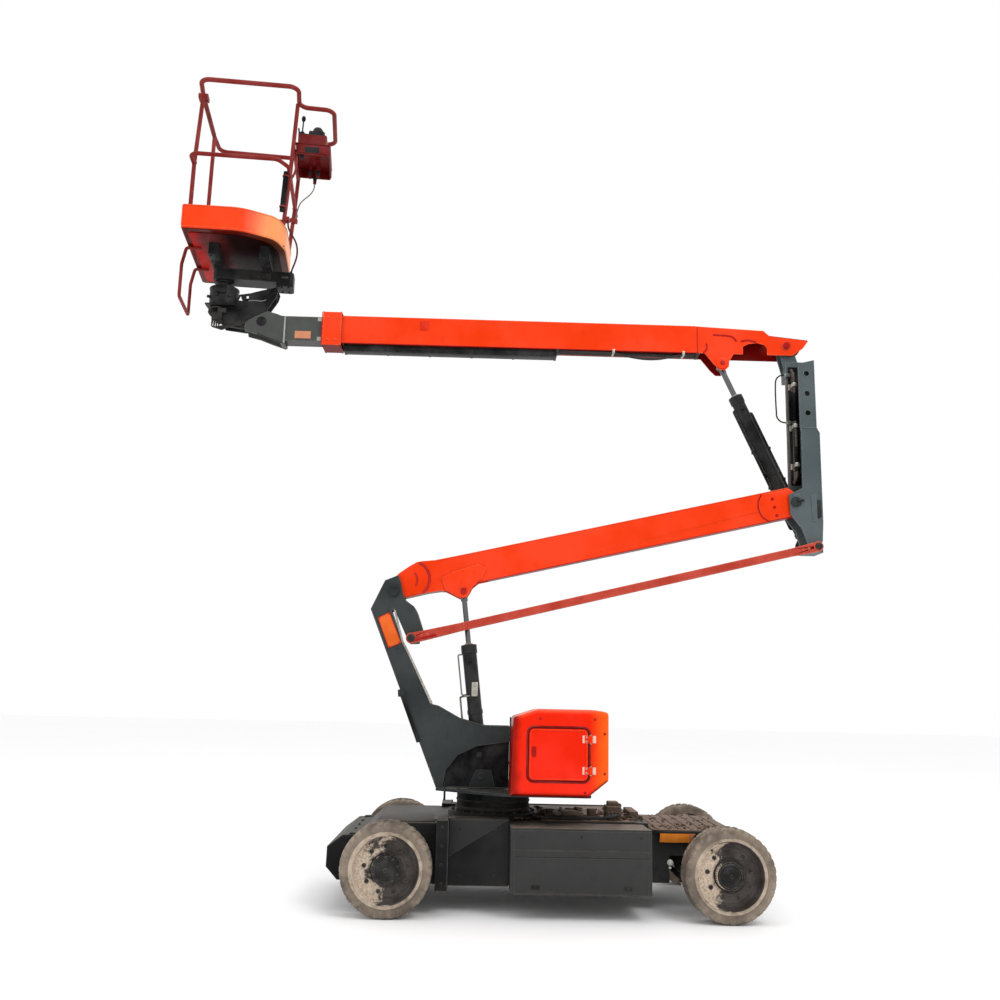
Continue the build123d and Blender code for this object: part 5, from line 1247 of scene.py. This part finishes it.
# fly boom: pale weld band, blank plate, pivot boss, lips
g = Geo("fly_weld_band")
g.weld_bead([(-1.556, .0232, 3.822), (-1.556, .0232, 4.020)], .0050, .010, 30)
g.rbox((-1.556, .0236, 3.925), (.012, .003, .208), .001)
g.done("fly_band", "fly_boom")
g = Geo("fly_blank_plate")
g.rbox((-1.420, .0232, 3.888), (.118, .0030, .056), .0010)
g.done("plate_pale", "fly_boom")
g = Geo("fly_pivot_boss")
for yy, q in ((.0245, -1), (.1555, 1)):
    g.lathe((-1.728, yy, 3.982), (0, q, 0), [(0, .036), (.004, .036), (.006, .033), (.0065, .021)], 26)
g.done("black", "fly_boom")
g = Geo("fly_lower_lip")
g.tube([(-1.560, .0230, 3.8175), (-1.656, .0230, 3.8490), (-1.752, .0230, 3.8850)], .0040, 8)
g.tube([(-1.560, .1570, 3.8175), (-1.656, .1570, 3.8490), (-1.752, .1570, 3.8850), (-1.843, .1570, 3.9070)], .0040, 8)
g.done("black", "fly_boom")
g = Geo("fly_wear_pads")
for yy in (.0225,):
    g.rbox((-1.300, .0232, 3.860), (.030, .0024, .030), .001)
    g.rbox((-1.300, .0232, 4.010), (.030, .0024, .030), .001)
g.done("zinc", "fly_boom")

# ------------------------------------------------------------------ platform bracket and rotator
g = Geo("bracket_pins")
g.lathe((-1.728, .020, 3.982), (0, -1, 0), [(0, .026), (.005, .026), (.008, .022), (.009, .008)], 24)
g.lathe((-1.728, .160, 3.982), (0, 1, 0), [(0, .026), (.005, .026), (.008, .022), (.009, .008)], 24)
for x, z in ((-1.660, 4.205), (-1.870, 4.165), (-2.075, 4.040), (-1.960, 3.975)):
    g.lathe((x, .040, z), (0, -1, 0), [(0, .020), (.006, .020), (.009, .016), (.0095, .006)], 20)
    g.lathe((x, .140, z), (0, 1, 0), [(0, .020), (.006, .020), (.009, .016), (.0095, .006)], 20)
g.done("black", "platform_bracket")
g = Geo("bracket_ribs")
g.tube([(-2.008, .0395, 3.951), (-1.862, .0395, 3.932), (-1.705, .0395, 3.948)], .0045, 8)
g.tube([(-1.925, .0395, 4.104), (-1.905, .0395, 4.186), (-1.824, .0395, 4.199), (-1.640, .0395, 4.250)], .0045, 8)
g.prism([(-2.02, 3.96), (-1.87, 3.94), (-1.80, 4.02), (-1.86, 4.075), (-2.06, 4.07)], .034, .0398, .0025)
g.done("black", "platform_bracket")
g = Geo("bracket_light_arc")
g.tube([(-1.835, .0385, 4.143), (-1.790, .0385, 4.150), (-1.742, .0385, 4.142), (-1.708, .0385, 4.155)], .0035, 8, 2)
g.done("zinc", "platform_bracket")
g = Geo("levelling_valve")
g.rbox((-2.055, .024, 4.010), (.075, .030, .060), .005)
g.rbox((-2.020, .022, 4.055), (.060, .034, .034), .004)
for k in range(5):
    g.cyl((-2.085 + .017 * k, .024, 3.980), (-2.088 + .017 * k, .024, 3.955 - .006 * (k % 2)), .0075, 6)
for k in range(3):
    g.bolt((-2.070 + .022 * k, .009, 4.018), (0, -1, 0), .006)
g.rbox((-2.098, .060, 4.058), (.040, .050, .030), .004)
g.done("cast", "platform_bracket")
g = Geo("bracket_hoses")
for k in range(4):
    x = -2.085 + .017 * k
    g.tube([(x - .003, .024, 3.957), (x - .004, .022, 3.935 - .004 * k), (x + .02, .016, 3.922 - .006 * k), (x + .07, .020, 3.935), (-1.93 + .02 * k, .028, 3.955),
            (-1.88 + .02 * k, .030, 3.985)], .0060, 8, 3)
g.tube([(-2.02, .022, 4.072), (-2.04, .006, 4.080), (-2.085, -.002, 4.075), (-2.118, .012, 4.050), (-2.108, .022, 4.020), (-2.090, .024, 4.012)], .0060, 8, 3)
g.done("hose", "platform_bracket")
# levelling cylinder inside the yoke
g = Geo("levelling_cylinder")
g.cyl((-1.905, .090, 4.000), (-1.735, .090, 4.150), .024, 24)
g.cyl((-1.745, .090, 4.142), (-1.665, .090, 4.206), .012, 20)
g.cyl((-1.660, .062, 4.205), (-1.660, .118, 4.205), .022, 24)
g.done("black", "platform_bracket")
g = Geo("rotator_details")
for z in (4.104, 4.232):
    g.ring((-2.030, .090, z), (0, 0, 1), .1055, .006, .012, 56)
for k in range(12):
    a = 2 * math.pi * k / 12
    g.bolt((-2.030 + .098 * math.cos(a), .090 + .098 * math.sin(a), 4.236), (0, 0, 1), .006, washer=False)
for a in (3.7, 4.5, 5.3):
    ca_, sa_ = math.cos(a), math.sin(a)
    g.cyl((-2.030 + .100 * ca_, .090 + .100 * sa_, 4.165), (-2.030 + .128 * ca_, .090 + .128 * sa_, 4.165), .011, 6)
g.rbox((-2.030, -.022, 4.200), (.080, .026, .040), .005)
g.done("black", "platform_bracket")

# ------------------------------------------------------------------ platform
TUB_PLAN = ((-393, -500, 25), (10, -515, 300), (250, -405, 150), (308, -230, 200), (308, 230, 200), (250, 405, 150), (10, 515, 300), (-393, 500, 25))


def rounded_plan(plan, inset=0.0, n=8):
    """The tub's plan with rounded corners, drawn in by an inset."""
    out = []
    m = len(plan)
    area2 = sum(plan[i][0] * plan[(i + 1) % m][1] - plan[(i + 1) % m][0] * plan[i][1] for i in range(m))
    sgn = 1 if area2 > 0 else -1
    for i in range(m):
        p = Vector(plan[i][:2])
        a, b = Vector(plan[i - 1][:2]) - p, Vector(plan[(i + 1) % m][:2]) - p
        a.normalize()
        b.normalize()
        half = a.angle(b) / 2
        r = plan[i][2]
        t = r / math.tan(half)
        c = p + (a + b).normalized() * (r / math.sin(half))
        s0, s1 = p + a * t - c, p + b * t - c
        tot = s0.angle(s1)
        for k in range(n + 1):
            rot = Matrix.Rotation(sgn * tot * k / n, 2)
            v = rot @ s0
            v = v.normalized() * max(0.5, (r - inset))
            out.append((c.x + v.x, c.y + v.y))
    return out


def band(g, plan, z0, z1, proud, thick):
    """A closed strip round the tub, standing proud of its wall."""
    o_, i_ = rounded_plan(plan, -proud), rounded_plan(plan, thick)
    n = len(o_)
    ch = min(.6, proud * .6)
    o2 = rounded_plan(plan, -(proud - ch))
    vs = []
    for pts, z in ((o2, z0), (o_, z0 + ch), (o_, z1 - ch), (o2, z1), (i_, z1), (i_, z0)):
        vs += [bk(x, y, z) for x, y in pts]
    fs = []
    for a in range(6):
        b = (a + 1) % 6
        for k in range(n):
            k2 = (k + 1) % n
            fs.append((a * n + k, a * n + k2, b * n + k2, b * n + k))
    g.add(vs, fs)


g = Geo("tub_rolled_edge")
band(g, TUB_PLAN, 4650, 4660, 2.2, 9)
band(g, TUB_PLAN, 4493, 4500, 1.5, 4)
g.done("tub", "basket", 40)
g = Geo("tub_seams")
for x, y in ((-393, -250), (-393, 250)):
    g.tube([bk(x - .8, y, 4505), bk(x - .8, y, 4645)], .0018, 6)
g.weld_bead([bk(-390, -503, 4500), bk(-390, -503, 4650)], .0025, .010, 33)
g.done("tub", "basket", 40)
# underside: a pressed field under the floor, in a dark red that is painted shade under the tub
g = Geo("tub_underside_shade")
g.prism([(x * .86 - 10, y * .88) for x, y in rounded_plan(TUB_PLAN, 0, 4)], 4474, 4479.6, 2.0, "XY",
        place=Matrix.Diagonal((.001, .001, .001, 1)))
for v in range(len(g.v)):
    x, y, z = g.v[v]
    g.v[v] = bk(x * 1000, y * 1000, z * 1000)
g.done("tub_under", "basket", 40)
g = Geo("tub_floor_tread")
for i in range(17):
    for j in range(20):
        x, y = -320 + 34 * i, -322 + 34 * j
        a = math.radians(45 if (i + j) % 2 else -45)
        u, w = Vector((math.cos(a), math.sin(a))), Vector((-math.sin(a), math.cos(a)))
        vs = []
        for k, (p, q, z) in enumerate(((-11, 0, 4504.0), (0, -3.2, 4504.0), (11, 0, 4504.0), (0, 3.2, 4504.0), (-7, 0, 4505.6), (0, -1.8, 4505.6), (7, 0, 4505.6),
                                       (0, 1.8, 4505.6))):
            v = u * p + w * q
            vs.append(bk(x + v.x, y + v.y, z))
        g.add(vs, [(0, 1, 5, 4), (1, 2, 6, 5), (2, 3, 7, 6), (3, 0, 4, 7), (4, 5, 6, 7), (3, 2, 1, 0)])
g.done("upright", "basket", 20)
g = Geo("support_bolts")
for lx, ly in ((-190, -280), (-190, -180), (-190, 180), (-190, 280), (170, -280), (170, -180), (170, 180), (170, 280)):
    for q in (-22, 22):
        g.bolt(bk(lx + q, ly, 4382), (0, 0, -1), .007)
for lx in (280, 330):
    for ly in (-50, 50):
        g.bolt(bk(lx, ly, 4271), (0, 0, -1), .008)
g.ring((-2.030, .090, 4.2865), (0, 0, 1), .056, .022, .013, 40)
g.done("black", "basket")
g = Geo("support_load_cell")
g.rbox(bk(302, 0, 4340)[:3], (.05, .16, .018), .003, BSK_R)
g.rbox(bk(120, -80, 4336), (.16, .010, .050), .003, BSK_R)
g.rbox(bk(120, 80, 4336), (.16, .010, .050), .003, BSK_R)
g.done("cast", "basket")
# rails: collars where posts meet the loops, feet, keepers
g = Geo("rail_joints")
for side in (-1, 1):
    for (x0, y0, x1, y1, x2, y2) in ((-368, 355, -366, 345, -351, 288), (273, 255, 310, 270, 337, 292)):
        for (x, y, z, r) in ((x0, side * y0, 4500, .0205),):
            g.lathe(bk(x, y, z), (0, 0, 1), [(0, r + .010), (.005, r + .010), (.008, r), (.016, .0165)], 24)
        a, b = Vector(bk(x0, side * y0, 4500)), Vector(bk(x1, side * y1, 5055))
        g.ring(b, (0, 0, 1), .0170, .005, .006, 24)
        g.ring(b - Vector((0, 0, .0)), (b - a), .0172, .004, .010, 24)
g.done("rail", "basket")
g = Geo("rail_pad")
p0, p1 = Vector(bk(288, -322, 5060)), Vector(bk(275, -318, 4745))
g.tube([p0, p0.lerp(p1, .03), p0.lerp(p1, .5), p0.lerp(p1, .97), p1], .020, 12, 0, flat=(.010, .020))
g.done("black_matt", "basket")
g = Geo("rail_pad_straps")
for t in (.12, .88):
    c = p0.lerp(p1, t)
    g.ring(c - (p1 - p0).normalized() * .006, p1 - p0, .0225, .004, .012, 24)
g.done("rail", "basket")
# step treads on the folding-step loop
g = Geo("step_tread")
for k in range(7):
    g.ring(Vector(bk(-424.95, -150 + 50 * k, 4095)) - Vector((SB * .0, 0, 0)), (-SB, CB, 0), .0123, .003, .010, 20)
g.done("rail", "basket")

# console
g = Geo("console_housing")
vs0 = [(335, -225), (585, -225), (585, 150), (335, 150)]
g.rbox(bk(460, -228.0, 5306), (.226, .005, .066), .002, BSK_R)
g.rbox(bk(460, 153.0, 5306), (.226, .005, .066), .002, BSK_R)
g.rbox(bk(587.5, -37.5, 5306), (.005, .34, .066), .002, BSK_R)
g.rbox(bk(460, -37.5, 5349.5), (.262, .390, .006), .0025, BSK_R)
g.done("console", "basket")
g = Geo("console_recess")
g.rbox(bk(455, -231.0, 5300), (.105, .003, .046), .0012, BSK_R)
g.done("black_matt", "basket")
g = Geo("console_panel")
g.prism([(348, 5436), (556, 5436), (556, 5441), (348, 5446)], -205, 130, 1.0, "XZ", place=Matrix.Diagonal((.001, .001, .001, 1)))
for v in range(len(g.v)):
    x, y, z = g.v[v]
    g.v[v] = bk(x * 1000, y * 1000, z * 1000)
g.rbox(bk(345, -37, 5486), (.012, .32, .008), .003, BSK_R)
g.rbox(bk(345, -150, 5466), (.010, .012, .044), .003, BSK_R)
g.rbox(bk(345, 80, 5466), (.010, .012, .044), .003, BSK_R)
g.rbox(bk(480, -130, 5462), (.120, .120, .044), .010, BSK_R)
g.done("black", "basket")
g = Geo("console_controls")
# lever with its gaiter
p = Vector(bk(372, -178, 5444))
g.lathe(p, (0, 0, 1), [(0, .026), (.006, .025), (.010, .020), (.014, .021), (.018, .015), (.022, .016), (.028, .009)], 24)
g.cyl(p + Vector((0, 0, .024)), p + Vector((.004, 0, .120)), .0055, 12)
g.lathe(p + Vector((.0035, 0, .112)), (0.04, 0, 1), [(0, .008), (.008, .014), (.024, .016), (.038, .012), (.044, .005)], 20)
# second lever and the domed beacon
p = Vector(bk(400, -20, 5444))
g.lathe(p, (0, 0, 1), [(0, .024), (.006, .023), (.010, .018), (.014, .019), (.022, .010)], 24)
g.cyl(p + Vector((0, 0, .018)), p + Vector((-.003, 0, .078)), .005, 12)
g.lathe(p + Vector((-.003, 0, .070)), (0, 0, 1), [(0, .007), (.006, .012), (.018, .014), (.028, .010), (.032, .004)], 20)
p = Vector(bk(485, -130, 5482))
g.lathe(p, (0, 0, 1), [(0, .046), (.010, .046), (.014, .042), (.034, .038), (.050, .028), (.058, .014), (.060, .004)], 32)
for k in range(5):
    q = Vector(bk(520, 10 + 22 * k, 5441))
    g.lathe(q, (0, 0, 1), [(0, .0085), (.004, .0085), (.006, .005), (.018, .004), (.020, .0025)], 14)
g.done("knob", "basket")
g = Geo("console_stop_button")
p = Vector(bk(430, 95, 5441))
g.lathe(p, (0, 0, 1), [(0, .014), (.008, .014), (.0085, .020), (.014, .0205), (.018, .017), (.019, .006)], 28)
g.done("red_button", "basket")
g = Geo("console_glands")
for x, y, z in ((464.3, 112.1, 5205), (430, 60, 5222), (490, 40, 5215), (380, -190, 5235)):
    p = Vector(bk(x, y, z))
    g.lathe(p, (0, 0, 1), [(0, .0062), (.006, .0085), (.020, .0138), (.034, .0142), (.038, .0160), (.056, .0160), (.060, .0140)], 20)
for x, y in ((430, 60), (490, 40)):
    p = Vector(bk(x, y, 5222 if x == 430 else 5215))
    g.tube([p + Vector((0, 0, .004)), p + Vector((0, 0, -.004))], .006, 8)
g.done("knob", "basket")
g = Geo("console_stay")
g.tube([bk(345, -190, 5262), bk(345, -192, 5200), bk(340, -196, 5130), bk(320, -204, 5075), bk(312, -206, 5062)], .0085, 10, 2)
g.done("rail", "basket")

# ------------------------------------------------------------------ free lines
LOOP_ROUTE = ((2110, -76, 3651), (2077, -76, 3651), (2048.4, -76, 3634.5), (2032, -76, 3606), (2031, -76, 3572), (2029, -76, 3515), (2030, -76, 3455),
              (2031, -76, 3404), (2033, -76, 3371), (2032, -76, 3338), (2048.4, -76, 3309.5), (2077, -76, 3293), (2110, -76, 3293))
CABLE_ROUTE = ((464.3, 112.1, 5205), (464.3, 112.1, 5177), (456, 118.5, 5150), (438, 131.3, 5126), (411.4, 150.2, 5108), (381, 172.6, 5092),
               (356, 194, 5073), (343, 214, 5048), (333, 232, 5020), (325, 244, 4992), (325, 244, 4962))
TUB_ROUTE = ((317, -262, 4700), (317, -262, 4666), (329, -253, 4634), (352, -232, 4602), (377, -202, 4570), (388, -172, 4530),
             (386, -142, 4488), (373, -114, 4450), (356, -88, 4418), (345, -66, 4392))


def free_line(name, pts, r, mat, body, node):
    cu = bpy.data.curves.new(name, "CURVE")
    cu.dimensions = "3D"
    sp = cu.splines.new("NURBS")
    sp.points.add(len(pts) - 1)
    for q, p in zip(sp.points, pts):
        q.co = (p[0], p[1], p[2], 1.0)
    sp.order_u = 3
    sp.use_endpoint_u = True
    sp.resolution_u = 12
    cu.bevel_depth = r
    cu.bevel_resolution = 4
    cu.use_fill_caps = True
    o = bpy.data.objects.new(name, cu)
    scene.collection.objects.link(o)
    cu.materials.append(M[mat])
    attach(o, body)
    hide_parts(node)


if "tub_hose" in NODES:
    free_line("loop_line", [mm(*p) for p in LOOP_ROUTE], .0055, "hose", "upright", "upright_loop_hose")
    free_line("console_lead", [bk(*p) for p in CABLE_ROUTE], .0045, "cable_grey", "basket", "console_cable")
    free_line("tub_line", [bk(*p) for p in TUB_ROUTE], .0065, "cable_red", "basket", "tub_hose")


# ------------------------------------------------------------------ stage, light and camera
def stage_floor():
    n, half = 24, 30.0
    vs, fs = [], []
    for i in range(n + 1):
        for j in range(n + 1):
            vs.append((half * (2 * i / n - 1), half * (2 * j / n - 1) + 8.0, 0.0))
    for i in range(n):
        for j in range(n):
            a = i * (n + 1) + j
            fs.append((a, a + n + 1, a + n + 2, a + 1))
    me = bpy.data.meshes.new("studio_floor")
    me.from_pydata(vs, [], fs)
    o = bpy.data.objects.new("studio_floor", me)
    scene.collection.objects.link(o)
    t = Tree("studio_floor")
    c = t.mix(t.noise(0.6, 3.0), srgb(252, 252, 252), srgb(249, 249, 250))
    t.link(c, t.bsdf.inputs["Base Color"])
    t.bsdf.inputs["Roughness"].default_value = 0.9
    me.materials.append(t.mat)


stage_floor()

world = bpy.data.worlds.new("studio")
scene.world = world
world.use_nodes = True
wt = world.node_tree
wt.nodes.clear()
w_out = wt.nodes.new("ShaderNodeOutputWorld")
w_bg = wt.nodes.new("ShaderNodeBackground")
w_bg.inputs["Color"].default_value = (1, 1, 1, 1)
w_bg.inputs["Strength"].default_value = 1.0
wt.links.new(w_bg.outputs[0], w_out.inputs[0])


def area(name, loc, target, size, power, col=(1, 1, 1)):
    li = bpy.data.lights.new(name, "AREA")
    li.shape = "RECTANGLE"
    li.size, li.size_y = size
    li.energy = power
    li.color = col
    o = bpy.data.objects.new(name, li)
    o.location = loc
    o.rotation_euler = (Vector(target) - Vector(loc)).to_track_quat("-Z", "Y").to_euler()
    scene.collection.objects.link(o)
    return o


area("key_softbox", (4.5, -6.5, 9.5), (0.0, 0.0, 2.2), (4.0, 4.0), 300)
area("left_strip", (-7.0, -5.0, 5.0), (0.0, 0.0, 2.4), (1.6, 5.0), 40)
area("top_softbox", (0.0, 1.0, 12.0), (0.0, 0.0, 2.0), (6.0, 6.0), 150)

cam_data = bpy.data.cameras.new("photo_camera")
cam = bpy.data.objects.new("photo_camera", cam_data)
scene.collection.objects.link(cam)
cam_data.sensor_width = 36.0
cam_data.lens = 1027.2 * 36.0 / 1000.0
cam_data.clip_end = 200.0
YAW, PITCH, ROLL = 0.0207338, 0.1867134, 0.0219837
cam_at = Vector((-0.0955155, -7.1911152, 1.3288706))
c_, s_ = math.cos(YAW), math.sin(YAW)
right, fwd, up = Vector((c_, -s_, 0)), Vector((s_, c_, 0)), Vector((0, 0, 1))
f2 = fwd * math.cos(PITCH) + up * math.sin(PITCH)
u2 = -fwd * math.sin(PITCH) + up * math.cos(PITCH)
r3 = right * math.cos(ROLL) + u2 * math.sin(ROLL)
u3 = -right * math.sin(ROLL) + u2 * math.cos(ROLL)
cam.matrix_world = Matrix(((r3.x, u3.x, -f2.x, cam_at.x), (r3.y, u3.y, -f2.y, cam_at.y), (r3.z, u3.z, -f2.z, cam_at.z), (0, 0, 0, 1)))
scene.camera = cam
scene.view_settings.view_transform = "Standard"
scene.view_settings.look = "None"
scene.view_settings.exposure = 0.0
scene.view_settings.gamma = 1.0
